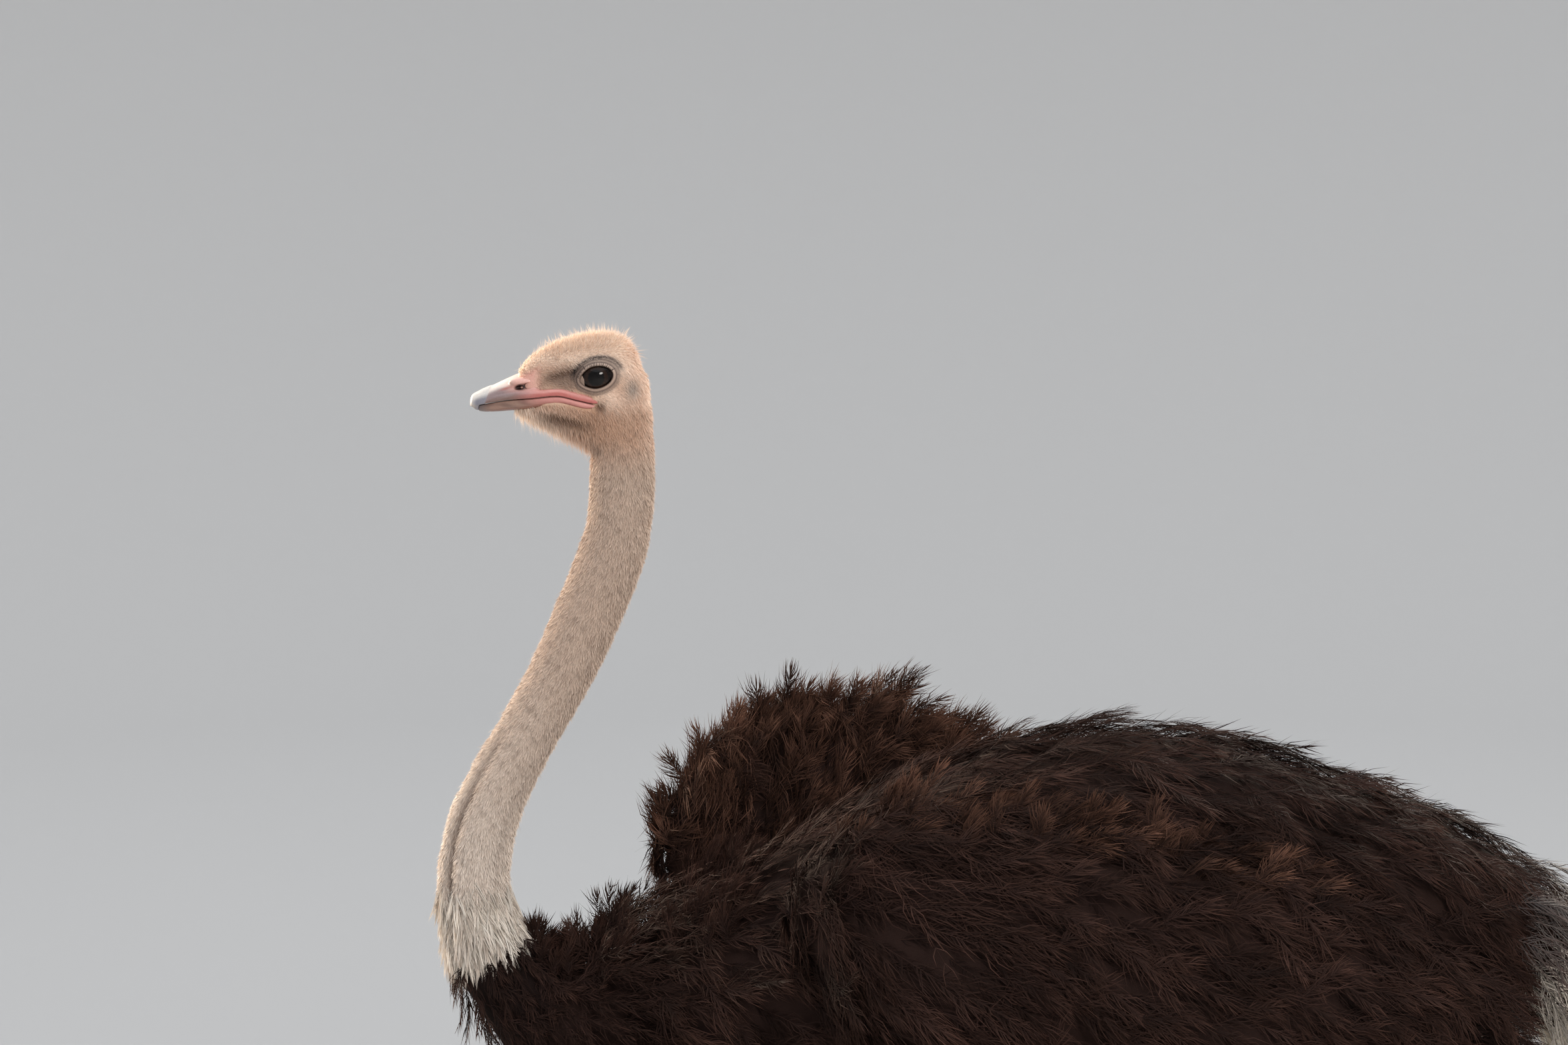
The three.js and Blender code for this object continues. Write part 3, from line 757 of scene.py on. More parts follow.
def trunk_skin():
    """Trunk, wings, and the fleshy roots of tail and plumes, in one smooth form."""
    cells = Cells((-430, -300, 700), (1130, 300, 1330), 10.0, band=6)
    rings = TRUNK_BODY.rings(0, TRUNK_BODY.last, 60, 64, depth=PLUMAGE_DEPTH, domes=(30, 46))
    field = cells.solid(rings)
    place = np.linspace(SHOULDER[0] - 0.3, 14.7, 50)
    base = NECK_BODY.rings(place[0], place[-1], 50, 48, depth=DOWN_DEPTH)
    base = narrowed(base, bare_share(place))
    buried = 1 - 0.25 * smoothstep(13.6, 14.7, place)
    base = narrowed(base, np.interp(place, SHOULDER, (0.93, 1.0)) * buried)
    field = join(field, cells.solid(base), 36)
    tail = TAIL_BODY.rings(0, 4.2, 30, 40, depth=TAIL_DEPTH, domes=(0, 30))
    field = join(field, cells.solid(tail), 30)
    for side in (-1, 1):
        wing, plumes = WING_BODY[side], PLUME_BODY[side]
        arm = wing.rings(0.1, wing.last - 0.4, 50, 40, depth=WING_DEPTH, domes=(8, 20))
        field = join(field, cells.solid(arm), 26)
        root = plumes.rings(0.1, 3.5, 24, 32, depth=WING_DEPTH, domes=(10, 20))
        field = join(field, cells.solid(root), 24)
    return piece_of(cells, "skin_trunk", field)


def leg_skin(side):
    """One leg from the hip to the soles, with the hock's knob and the pads under the toes."""
    y = side * 130
    cells = Cells((200, y - 115, -12), (640, y + 115, 1050), 5.0, band=6)
    leg = LEG_BODY[side]
    field = cells.solid(leg.rings(0, leg.last, 120, 48, domes=(26, 12)))
    hock = along(leg.table, 7.0)
    heel = (hock[0] + 17, side * hock[1], hock[2] + 8)
    field = join(field, cells.ellipsoid(heel, (23, 24, 34)), 16)
    for swell in (-1, 1):
        knob = (hock[0] - 4, side * hock[1] + swell * 21, hock[2] + 4)
        field = join(field, cells.ellipsoid(knob, (22, 14, 24)), 12)
    big, small = foot_roots(side)
    toes = toe_body(BIG_TOE, big, 0.0), toe_body(SMALL_TOE, small, -side * SMALL_TOE_TURN)
    for toe, ends in zip(toes, ((8, 5), (4, 5))):
        field = join(field, cells.solid(toe.rings(0, toe.last, 60, 40, domes=ends)), 9)
    field = np.maximum(field, 0.2 - cells.z)
    return piece_of(cells, f"skin_leg_{side}", field)


def united(name, pieces):
    """One mesh from overlapping closed ones."""
    first = pieces[0]
    bpy.context.view_layer.objects.active = first
    for other in pieces[1:]:
        cut = first.modifiers.new("join", "BOOLEAN")
        cut.operation = "UNION"
        cut.solver = "MANIFOLD"
        cut.object = other
        with bpy.context.temp_override(object=first, active_object=first, selected_objects=[first]):
            bpy.ops.object.modifier_apply(modifier=cut.name)
        bpy.data.objects.remove(other)
    first.name = name
    first.data.name = name
    return first


def seams(points):
    """How near points lie to the places where two parts of the skin meet."""
    x, _, z = points.T
    throat = bump(z - 1562, 14) * (x < NECK_END)
    shoulder = bump(neck_place(points) - 11.55, 0.8) * (x < -150) * (z < 1150)
    hips = bump(z - 850, 60) * (x > LEGS[0]) * (x < LEGS[1])
    return np.clip(throat + shoulder + hips, 0, 1)


def smooth_near(mesh, share, rounds=12):
    """Relaxes the points of a mesh, each by its share."""
    count = len(mesh.vertices)
    edges = np.zeros(len(mesh.edges) * 2, np.int32)
    mesh.edges.foreach_get("vertices", edges)
    a, b = edges.reshape(-1, 2).T
    number = np.bincount(a, minlength=count) + np.bincount(b, minlength=count)
    points = read_points(mesh)
    for _ in range(rounds):
        sums = [np.bincount(a, q[b], count) + np.bincount(b, q[a], count) for q in points.T]
        mean = np.stack(sums, 1) / np.maximum(number, 1)[:, None]
        points += (mean - points) * share[:, None] * 0.6
    mesh.vertices.foreach_set("co", points.astype(np.float32).reshape(-1))
    mesh.update()


# ---- Markings and painted shade: the same on skin and coat -------------------------------------

CREAM = srgb(248, 226, 208)
BUFF = srgb(212, 174, 148)
CHEEK = srgb(184, 142, 114)
NECK_TAN = srgb(202, 180, 163)
NECK_PALE = srgb(224, 211, 199)
SPECK = srgb(112, 84, 66)
LORE = srgb(112, 82, 64)
# Painted shade: the fold under the jaw and the corner of the mouth.
JAW_FOLD_SHADE = srgb(108, 72, 48)
GREY_SKIN = srgb(142, 124, 114)
LID_PALE = srgb(200, 176, 162)
# Painted shade in the lid's creases and in an arc over the eye.
LID_CREASE_SHADE = srgb(78, 66, 66)
LID_RIM = srgb(58, 46, 42)
NOSE_FLESH = srgb(222, 172, 158)
EAR_GREY = srgb(150, 140, 134)
COLLAR_WHITE = srgb(240, 232, 221)
BLACK = srgb(29, 20, 18)
UMBER = srgb(58, 40, 34)
RUST = srgb(96, 68, 56)
SUNLIT_BROWN = srgb(106, 76, 62)
DIRTY_WHITE = srgb(222, 210, 194)
PLUME_WHITE = srgb(238, 232, 222)
LEG_GREY = srgb(142, 127, 118)
LEG_PINK = srgb(168, 134, 122)
SCUTE = srgb(160, 132, 116)


def neck_place(points):
    """The place in the neck's table that is nearest to each point."""
    places = np.linspace(0, NECK_BODY.last, 240)
    x, z = along(NECK, places)[:, :2].T
    found = np.zeros(len(points))
    for start in range(0, len(points), AT_ONCE):
        part = points[start:start + AT_ONCE]
        gap = (part[:, :1] - x) ** 2 + (part[:, 2:] - z) ** 2
        found[start:start + AT_ONCE] = places[gap.argmin(1)]
    return found


def fold_shade(points, place):
    """How deep in the neck's long folds points lie, from 0 to 1."""
    rows = along(NECK, place)
    ahead = along(NECK, np.minimum(place + 0.05, NECK_BODY.last)) - rows
    up = unit(np.stack([-ahead[:, 1], ahead[:, 0]], 1))
    off = points[:, [0, 2]] - rows[:, :2]
    turn = np.arctan2(points[:, 1] / rows[:, 3], np.sum(off * up, 1) / rows[:, 2])
    return np.clip((1 - gullet_fold(place, turn)) / GULLET["depth"], 0, 1)


# Soft marks on the side of the face, and the painted shade in the mouth's corner: middle in x and
# z, reach in x and z.
CHEEK_MARK = (-226, 1690, 34, 24)
LORE_MARK = (-258, 1729, 20, 11)
PALE_BEHIND_MOUTH = (-206, 1708, 17, 12)
PALE_BEHIND_EYE = (-190, 1744, 14, 16)
# Painted shade in the corner of the mouth.
MOUTH_CORNER_SHADE = (-219, 1700, 6, 6)
EAR_MARK = (-181, 1722, 8, 11)


def oval(x, z, mark):
    """How strongly a soft mark covers points, from 1 in its middle."""
    return bump(np.hypot((x - mark[0]) / mark[2], (z - mark[1]) / mark[3]), 1.0)


def down_colour(points):
    """The colours of head and neck: cream crown, buff cheeks, dark before the eye, mottled neck."""
    x, y, z = points.T
    side = smoothstep(12, 30, np.abs(y))
    colour = np.broadcast_to(CREAM, points.shape).copy()
    below = smoothstep(1754, 1737, z + 0.10 * (x + 240))
    colour = mix(colour, BUFF, 0.75 * below * side)
    colour = mix(colour, CHEEK, 0.8 * oval(x, z, CHEEK_MARK) * side)
    # Darker and browner under the jaw: painted shade.
    under = smoothstep(1686, 1670, z - 0.25 * (x + 250))
    colour = mix(colour, mix(CHEEK, BUFF, 0.4), 0.6 * under)
    streak = bump(z - 1742 - 0.26 * (x + 250), 6.5)
    streak = streak * smoothstep(-300, -270, x) * smoothstep(-232, -243, x)
    colour = mix(colour, LORE, 0.95 * streak * side)
    colour = mix(colour, mix(LORE, GREY_SKIN, 0.5), 0.65 * oval(x, z, LORE_MARK) * side)
    pale = oval(x, z, PALE_BEHIND_MOUTH) + 0.7 * oval(x, z, PALE_BEHIND_EYE)
    colour = mix(colour, CREAM, 0.75 * np.clip(pale, 0, 1) * side)
    # Painted shade: a dark line in the fold between jaw and throat, and a dark spot in the corner
    # of the mouth.
    fold = bump(z - 1683 + 0.23 * (x + 253), 5.0)
    fold = fold * smoothstep(-306, -275, x) * smoothstep(-226, -246, x)
    colour = mix(colour, JAW_FOLD_SHADE, 0.9 * np.maximum(fold, oval(x, z, MOUTH_CORNER_SHADE)))
    nape = smoothstep(-200, -176, x) * smoothstep(1690, 1720, z)
    colour = mix(colour, mix(CREAM, BUFF, 0.45), 0.7 * nape)
    place = neck_place(points)
    on_neck = smoothstep(0.5, 1.6, place) * smoothstep(1680, 1650, z)
    tan = mix(NECK_TAN, NECK_PALE, smoothstep(4.0, 9.0, place))
    colour = mix(colour, tan, on_neck)
    colour = mix(colour, SPECK, 0.8 * on_neck * fold_shade(points, place))
    mottle = waves(points * np.array([1, 1, 0.5]), 4.2, 21)
    mottle = mottle + 0.8 * waves(points * np.array([1, 1, 0.6]), 2.4, 22)
    amount = 0.10 + 0.26 * np.maximum(on_neck, under) * (1 - 0.5 * smoothstep(6.5, 9.5, place))
    colour = mix(colour, SPECK, amount * smoothstep(0.0, 1.4, mottle))
    flesh = smoothstep(-286, -300, x) * smoothstep(1746, 1736, z - 0.5 * (x + 304)) * (z > 1703)
    colour = mix(colour, NOSE_FLESH, flesh)
    colour = mix(colour, EAR_GREY, 0.75 * oval(x, z, EAR_MARK) * side)
    lid = lid_distance(x, z)
    beside = smoothstep(26, 31, np.abs(y)) * (z > 1700)
    colour = mix(colour, GREY_SKIN, 0.75 * smoothstep(10.0, 6.0, lid) * beside)
    # Painted shade: dark lines in the lid's creases, the outer ones darkest in an arc over the eye.
    above = smoothstep(1733, 1745, z - 0.2 * (x + 222))
    lines = ((4.4, 0.8, 0.75), (7.8, 0.9, 0.35 + 0.4 * above), (10.8, 1.9, 0.85 * above))
    for distance, width, strength in lines:
        colour = mix(colour, LID_CREASE_SHADE, strength * bump(lid - distance, width) * beside)
    colour = mix(colour, LID_PALE, 0.6 * bump(lid - 2.3, 0.9) * beside)
    colour = mix(colour, LID_RIM, 0.8 * bump(lid - 0.2, 0.8) * beside)
    collar = smoothstep(9.3, 10.2, place) * (z < 1150)
    colour = mix(colour, COLLAR_WHITE, collar)
    base = smoothstep(10.75, 11.1, place) * (z < 1100)
    return mix(colour, BLACK, base)


def body_colour(points):
    """The colours of the skin below the neck: dark or pale under the plumage, pink-grey legs."""
    x, y, z = points.T
    colour = np.broadcast_to(mix(BLACK, UMBER, 0.3), points.shape).copy()
    tail = smoothstep(930, 1000, x)
    colour = mix(colour, mix(UMBER, DIRTY_WHITE, 0.45), tail)
    plumes = smoothstep(560, 640, x) * smoothstep(975, 940, z) * (np.abs(y) > 110)
    colour = mix(colour, DIRTY_WHITE, plumes)
    leg = smoothstep(905, 860, z) * (x > LEGS[0]) * (x < LEGS[1]) * (np.abs(y) > 40)
    leg = leg * (1 - plumes)
    flesh = mix(LEG_GREY, LEG_PINK, 0.5 + 0.5 * np.clip(waves(points, 60, 31), -1, 1))
    flesh = mix(flesh, mix(LEG_GREY, SPECK, 0.4), smoothstep(0.2, 1.0, waves(points, 22, 32)) * 0.5)
    flesh = mix(flesh, mix(SPECK, BLACK, 0.3), smoothstep(26, 6, z) * 0.7)
    return mix(colour, flesh, leg)


def skin_colour(points):
    """The colours of the whole skin: those of the head and neck, and those of the body."""
    near = (points[:, 0] < NECK_END) & (np.abs(points[:, 1]) < 100)
    head = near & ((points[:, 2] > 1105) | (neck_place(points) < 13.0))
    colour = body_colour(points)
    colour[head] = down_colour(points[head])
    return colour


# ---- Materials ---------------------------------------------------------------------------------


def new_node(tree, kind, **settings):
    node = tree.nodes.new(kind)
    for label, value in settings.items():
        setattr(node, label, value)
    return node


def grain_group():
    """A shared node group: a colour varied by fine noise, and a normal with grain of some size."""
    name = "grain"
    if name in bpy.data.node_groups:
        return bpy.data.node_groups[name]
    group = bpy.data.node_groups.new(name, "ShaderNodeTree")
    face = group.interface
    face.new_socket("Colour", in_out="INPUT", socket_type="NodeSocketColor")
    inputs = (("Grain size", 300.0), ("Variation", 0.2), ("Height", 0.3), ("Cells", 0.0))
    for label, value in inputs:
        socket = face.new_socket(label, in_out="INPUT", socket_type="NodeSocketFloat")
        socket.default_value = value
    face.new_socket("Colour", in_out="OUTPUT", socket_type="NodeSocketColor")
    face.new_socket("Normal", in_out="OUTPUT", socket_type="NodeSocketVector")
    entry = new_node(group, "NodeGroupInput").outputs
    leave = new_node(group, "NodeGroupOutput").inputs
    place = new_node(group, "ShaderNodeTexCoord").outputs["Object"]
    noise = new_node(group, "ShaderNodeTexNoise")
    noise.inputs["Detail"].default_value = 5.0
    cells = new_node(group, "ShaderNodeTexVoronoi", feature="DISTANCE_TO_EDGE")
    centred = new_node(group, "ShaderNodeMath", operation="SUBTRACT")
    centred.inputs[1].default_value = 0.5
    spread = new_node(group, "ShaderNodeMath", operation="MULTIPLY_ADD")
    spread.inputs[2].default_value = 1.0
    tone = new_node(group, "ShaderNodeMix", data_type="RGBA", blend_type="MULTIPLY")
    tone.inputs["Factor"].default_value = 1.0
    edge = new_node(group, "ShaderNodeMapRange")
    edge.inputs["From Max"].default_value = 0.18
    share = new_node(group, "ShaderNodeMix", data_type="FLOAT")
    relief = new_node(group, "ShaderNodeBump")
    relief.inputs["Distance"].default_value = 0.0012
    for source, target in (
        (place, noise.inputs["Vector"]),
        (place, cells.inputs["Vector"]),
        (entry["Grain size"], noise.inputs["Scale"]),
        (entry["Grain size"], cells.inputs["Scale"]),
        (noise.outputs["Fac"], centred.inputs[0]),
        (centred.outputs[0], spread.inputs[0]),
        (entry["Variation"], spread.inputs[1]),
        (entry["Colour"], tone.inputs[6]),
        (spread.outputs[0], tone.inputs[7]),
        (cells.outputs["Distance"], edge.inputs["Value"]),
        (entry["Cells"], share.inputs["Factor"]),
        (noise.outputs["Fac"], share.inputs[2]),
        (edge.outputs["Result"], share.inputs[3]),
        (share.outputs[0], relief.inputs["Height"]),
        (entry["Height"], relief.inputs["Strength"]),
        (tone.outputs[2], leave["Colour"]),
        (relief.outputs["Normal"], leave["Normal"]),
    ):
        group.links.new(source, target)
    return group


def tinted_material(name, roughness, grain, variation, height,
                    cells=0.0, sheen=0.0, coat=0.0, specular=0.5):
    """A material whose colour is the mesh's own tint, with grain."""
    material = bpy.data.materials.new(name)
    material.use_nodes = True
    tree = material.node_tree
    shader = tree.nodes["Principled BSDF"]
    tint = new_node(tree, "ShaderNodeVertexColor", layer_name="tint")
    group = new_node(tree, "ShaderNodeGroup", node_tree=grain_group())
    grains = {"Grain size": grain, "Variation": variation, "Height": height, "Cells": cells}
    for label, value in grains.items():
        group.inputs[label].default_value = value
    tree.links.new(tint.outputs["Color"], group.inputs["Colour"])
    tree.links.new(group.outputs["Colour"], shader.inputs["Base Color"])
    tree.links.new(group.outputs["Normal"], shader.inputs["Normal"])
    finish = {
        "Roughness": roughness,
        "Sheen Weight": sheen,
        "Sheen Roughness": 0.5,
        "Coat Weight": coat,
        "Coat Roughness": 0.03,
        "Specular IOR Level": specular,
    }
    for label, value in finish.items():
        shader.inputs[label].default_value = value
    return material


# ---- Bill, eyes and claws ----------------------------------------------------------------------

BILL_GAP = 0.35
BILL_OVERLAP = 1.3
NAIL_EDGE = -353.0
NAIL_LINES = (0.0, 2.6, 5.4)        # growth lines, how far behind the nail's edge
NAIL_HOOK = (-367.5, 0, 1705)
# The rims of the bill: their radius at four places, how far out of the horn they lie, and on which
# side of the mouth line.
UPPER_RIM = dict(x=(-350, -300, -234, -220), size=(0.8, 4.6, 4.9, 2.4), out=0.7, side=1,
                 ripple=0.28, blend=2.0)
LOWER_RIM = dict(x=(-346, -300, -238, -222), size=(0.6, 3.9, 4.2, 2.0), out=0.3, side=-1,
                 ripple=0.25, blend=1.6)
NOSTRIL_LID = ((-311, 19, 1729), (17, 8, 5))
# Slots of the nostrils and the groove before them: both ends, radius, depth, blend.
NOSTRIL_SLOTS = (
    ((-320, 27, 1721.4), (-312, 27, 1722.6), 2.1, 7.0, 0.9),
    ((-305.5, 28, 1724.4), (-301, 28, 1725.6), 3.5, 9.0, 1.0),
    ((-322, 28, 1721.5), (-300, 30, 1725.5), 3.0, 3.6, 1.6),
    ((-340, 23, 1717.5), (-324, 26, 1722), 1.0, 3.0, 1.4),
)
RIM_TOP = srgb(214, 150, 142)
RIM_PINK = srgb(190, 108, 102)
# Painted shade along the mouth line, where the two halves of the bill meet.
MOUTH_LINE_SHADE = srgb(122, 52, 52)
# Painted highlight along the ridge of the upper bill.
RIDGE_HIGHLIGHT = srgb(240, 224, 214)
HORN_MAUVE = srgb(142, 122, 122)
HORN_BROWN = srgb(118, 90, 80)
NAIL_IVORY = srgb(216, 211, 206)
NAIL_BLUE = srgb(134, 132, 142)
FLESH_PINK = srgb(222, 166, 154)
NOSTRIL_DARK = srgb(46, 24, 22)
CREASE_RED = srgb(170, 88, 72)
NAIL_TIP = srgb(210, 194, 172)
HORN_TAN = srgb(150, 118, 104)
HORN_RUSSET = srgb(120, 72, 54)
HORN_SLATE = srgb(92, 84, 86)
PUPIL = srgb(7, 5, 5)
IRIS_DARK = srgb(30, 18, 13)
IRIS_LIGHT = srgb(50, 31, 21)
IRIS_EDGE = srgb(20, 13, 11)
EYE_RIM = srgb(46, 40, 40)
CLAW_ROOT = srgb(74, 62, 56)
CLAW_TIP = srgb(142, 124, 108)
SCUTE_WORN = srgb(112, 90, 78)
LASH_DARK = srgb(34, 27, 26)


def mouth_height(x):
    """The height of the closed mouth's line at x."""
    return along(MOUTH, place_of(MOUTH, x))[..., 1]


def bill_body(table):
    """Half of the bill as a full round form about the mouth line, whose other side is cut off."""

    def lay(rows_table, place):
        x, height, half_width, square = np.moveaxis(along(rows_table, place), -1, 0)
        return *upright_frames(x, mouth_height(x)), height + BILL_OVERLAP, half_width, square

    return Body(table, lay)


def bill_width(table, x):
    """The half width of one half of the bill at x."""
    return along(table, place_of(table, x))[..., 2]


def groove(cells, start, end, radius, side_depth):
    """A slot at each side of the bill between two points, with rounded ends."""
    a, b = np.array(start, float), np.array(end, float)
    span = (b - a)[[0, 2]]
    share = ((cells.x - a[0]) * span[0] + (cells.z - a[2]) * span[1]) / (span @ span)
    share = np.clip(share, 0, 1)
    off = np.hypot(cells.x - a[0] - share * span[0], cells.z - a[2] - share * span[1])
    depth = (np.abs(cells.y) - (a[1] + share * (b[1] - a[1]))) / side_depth
    return (np.hypot(off / radius, depth) - 1) * radius


def nail_edge(z):
    """Where along the bill the nail ends, further forward low down."""
    return NAIL_EDGE - 0.32 * (1716 - z)


def bill_half(cells, table, rim, ends):
    """The horn of one half with its soft rims, and the mouth line's height at every x."""
    body = bill_body(table)
    x, y, z = cells.x, cells.y, cells.z
    mouth = mouth_height(x[:, 0, 0])[:, None, None]
    width = bill_width(table, x[:, 0, 0])[:, None, None]
    size = np.interp(x, rim["x"], rim["size"])
    roll = np.hypot(np.abs(y) - width + size - rim["out"], z - mouth - rim["side"] * size * 0.95)
    roll = np.maximum(roll - size, np.maximum(x - rim["x"][-1], rim["x"][0] - x))
    ripple = np.sin((z - mouth) * 2.4 + 0.05 * x) * smoothstep(-330, -300, x)
    horn = cells.solid(body.rings(0, body.last, 90, 96, domes=(ends, ends)))
    return join(horn, roll + rim["ripple"] * ripple, rim["blend"]), mouth


def bill_upper_mesh():
    """The upper bill: nail, ridge, nostrils under their fleshy lids, and the soft pink rims."""
    cells = Cells((-378, -46, 1690), (-212, 46, 1750), 0.9)
    field, mouth = bill_half(cells, BILL_UPPER, UPPER_RIM, 5)
    x, z = cells.x, cells.z
    field = join(field, mirrored(cells, *NOSTRIL_LID), 5)
    nail = nail_edge(z)
    field = field - 0.45 * smoothstep(1, -1, x - nail)
    for back in NAIL_LINES:
        line = bump(x - nail - back, 0.6) * smoothstep(1704, 1710, z)
        field = field + (0.45 - 0.05 * back) * line
    crease = smoothstep(-350, -338, x) * smoothstep(-296, -306, x)
    field = field + 0.5 * bump(z - mouth - 9 - 0.05 * (x + 330), 1.0) * crease
    for start, end, radius, depth, blend in NOSTRIL_SLOTS:
        field = carve(field, groove(cells, start, end, radius, depth), blend)
    field = carve(field, z - mouth - BILL_GAP, 1.3)
    field = join(field, cells.ellipsoid(NAIL_HOOK, (7.5, 10, 10.5)), 3.5)
    return piece_of(cells, "bill_top", field)


def bill_lower_mesh():
    """The lower bill: its horn and the soft pink rims that run back to the corners of the mouth."""
    cells = Cells((-376, -46, 1680), (-214, 46, 1720), 1.0)
    field, mouth = bill_half(cells, BILL_LOWER, LOWER_RIM, 4)
    x, z = cells.x, cells.z
    field = field + 0.4 * bump(z - mouth + 8.6, 0.8) * smoothstep(-352, -335, x)
    field = field + 0.3 * bump(x - NAIL_EDGE, 0.7)
    field = carve(field, mouth - BILL_GAP - z, 1.0)
    field = carve(field, cells.ellipsoid(NAIL_HOOK, (8.4, 11, 11.4)), 1.0)
    return piece_of(cells, "bill_bottom", field)


def bill_upper_colour(points):
    """Mauve horn with a painted highlight along its ridge, an ivory and blue nail, pink rims and
    red-edged nostrils.
    """
    x, y, z = points.T
    mouth = mouth_height(x)
    share = (z - mouth) / (along(BILL_UPPER, place_of(BILL_UPPER, x))[..., 1] + BILL_OVERLAP)
    streaks = waves(points * np.array([0.25, 1, 1]), 5, 41)
    # Paler towards the ridge: a painted highlight along the top of the upper bill.
    colour = mix(HORN_MAUVE, RIDGE_HIGHLIGHT, smoothstep(0.42, 0.8, share + 0.05 * streaks))
    colour = mix(colour, HORN_BROWN, smoothstep(0.30, 0.12, share + 0.05 * streaks) * 0.8)
    pink = smoothstep(-338, -318, x) * smoothstep(0.2, 0.5, share)
    # The ridge by the nostrils takes the painted highlight too.
    ridge = mix(FLESH_PINK, RIDGE_HIGHLIGHT, smoothstep(0.75, 1.0, share) * 0.6)
    colour = mix(colour, ridge, 0.85 * pink)
    nail = smoothstep(1.2, -1.2, x - nail_edge(z))
    horn = mix(NAIL_BLUE, NAIL_IVORY, smoothstep(0.30, 0.70, share))
    hook = mix(NAIL_IVORY, NAIL_TIP, smoothstep(1704, 1698, z))
    horn = mix(horn, hook, smoothstep(-367, -374, x) * 0.6)
    colour = mix(colour, horn, nail)
    rim = smoothstep(-330, -286, x) * smoothstep(12.5, 9.5, z - mouth)
    soft = smoothstep(3, 8, z - mouth + 1.2 * waves(points * np.array([0.12, 1, 1]), 3.2, 43))
    colour = mix(colour, mix(RIM_PINK, RIM_TOP, soft), rim)
    # Darker at the mouth line: painted shade between the two halves.
    colour = mix(colour, MOUTH_LINE_SHADE, rim * smoothstep(1.8, 0.3, z - mouth) * 0.8)
    slot = np.hypot((x + 311) / 11.0, (z - 1723.4 - 0.16 * (x + 311)) / 4.4)
    inside = smoothstep(1.15, 0.7, slot) * (np.abs(y) > 14)
    skin_depth = smoothstep(27.5, 24.5, np.abs(y))
    colour = mix(colour, CREASE_RED, inside * 0.45)
    colour = mix(colour, NOSTRIL_DARK, inside * skin_depth)
    crease = bump(z - 1721 - 0.28 * (x + 332), 1.6) * bump(x + 332, 7) * (np.abs(y) > 12)
    return mix(colour, CREASE_RED, 0.75 * crease)


def bill_lower_colour(points):
    """Brown horn, slate at its tip, with pink rims."""
    x, _, z = points.T
    below = mouth_height(x) - z
    streaks = waves(points * np.array([0.25, 1, 1]), 5, 42)
    colour = mix(HORN_BROWN, HORN_TAN, smoothstep(-0.6, 0.8, streaks))
    colour = mix(colour, HORN_RUSSET, smoothstep(6, 11, below))
    colour = mix(colour, HORN_SLATE, smoothstep(-350, -364, x) * 0.8)
    rim = smoothstep(-322, -276, x) * smoothstep(11.0, 7.5, below)
    soft = smoothstep(2, 8, below + 1.2 * waves(points * np.array([0.12, 1, 1]), 3.2, 44))
    colour = mix(colour, mix(RIM_TOP, mix(RIM_PINK, HORN_BROWN, 0.4), soft), rim)
    # Darker at the mouth line: painted shade between the two halves.
    return mix(colour, MOUTH_LINE_SHADE, rim * smoothstep(1.8, 0.3, below) * 0.8)


def eyeball(side_name, side):
    """One eye: a clear bulge over a dark brown iris, and the pupil."""
    rows, sides = 56, 88
    polar = np.linspace(0.0, math.pi, rows + 2)[1:-1][:, None]
    turn = np.linspace(0, TAU, sides, endpoint=False)[None, :]
    across, over = np.sin(polar) * np.cos(turn), np.sin(polar) * np.sin(turn)
    bulge = 1.1 * smoothstep(0.62, 0.0, polar) * np.ones_like(turn)
    grid = np.stack(
        [
            EYE["x"] + EYE["length"] * across * side,
            side * (EYE["y"] + EYE["depth"] * np.cos(polar) + bulge),
            EYE["z"] + EYE["height"] * over,
        ],
        -1,
    )
    points, quads, triangles = closed_mesh(grid)
    piece = outward(new_object(f"eyeball_{side_name}", points, quads, triangles))
    x, _, z = points.T
    reach = np.hypot(x - LID["x"], z - (LID["z"] - 0.5))
    round_pupil = np.arctan2(z - LID["z"], x - LID["x"])
    spokes = 0.5 + 0.5 * np.sin(61 * round_pupil + 4 * waves(points, 6, 51))
    iris = mix(IRIS_DARK, IRIS_LIGHT, spokes * 0.6)
    iris = mix(iris, IRIS_EDGE, smoothstep(12.5, 15.0, reach))
    colour = mix(PUPIL, iris, smoothstep(9.0, 10.5, reach))
    colour = mix(colour, EYE_RIM, smoothstep(17.0, 19.0, reach))
    write_colours(piece.data, colour)
    return piece


def claw_mesh(name, claw, root, turn, droop):
    """A blunt horn claw, ridged along its back, on the end of a toe."""
    table = claw_table(claw["start"], claw["length"], claw["height"], claw["width"])
    body = toe_body(table, root, turn)
    grid = body.rings(0, body.last, 44, 48, domes=(0, 4))
    reach = np.linspace(0, 1, len(grid))[:, None]
    middle = grid.mean(1, keepdims=True)
    turns = np.linspace(0, TAU, 48, endpoint=False)[None, :]
    ridge = 1 + 0.05 * np.cos(turns * 12) * (np.cos(turns) > 0) + 0.015 * np.sin(reach * 60)
    grid = middle + (grid - middle) * ridge[..., None]
    grid[..., 2] = np.maximum(grid[..., 2] - droop * reach ** 2, 0.0)
    points, quads, triangles = closed_mesh(grid)
    piece = outward(new_object(name, points, quads, triangles))
    share = np.concatenate([np.repeat(reach[:, 0], 48), [0, 1]])
    lines = waves(points * np.array([0.3, 1, 1]), 4, 61)
    write_colours(piece.data, mix(CLAW_ROOT, CLAW_TIP, smoothstep(0.2, 1.0, share) + 0.15 * lines))
    return piece


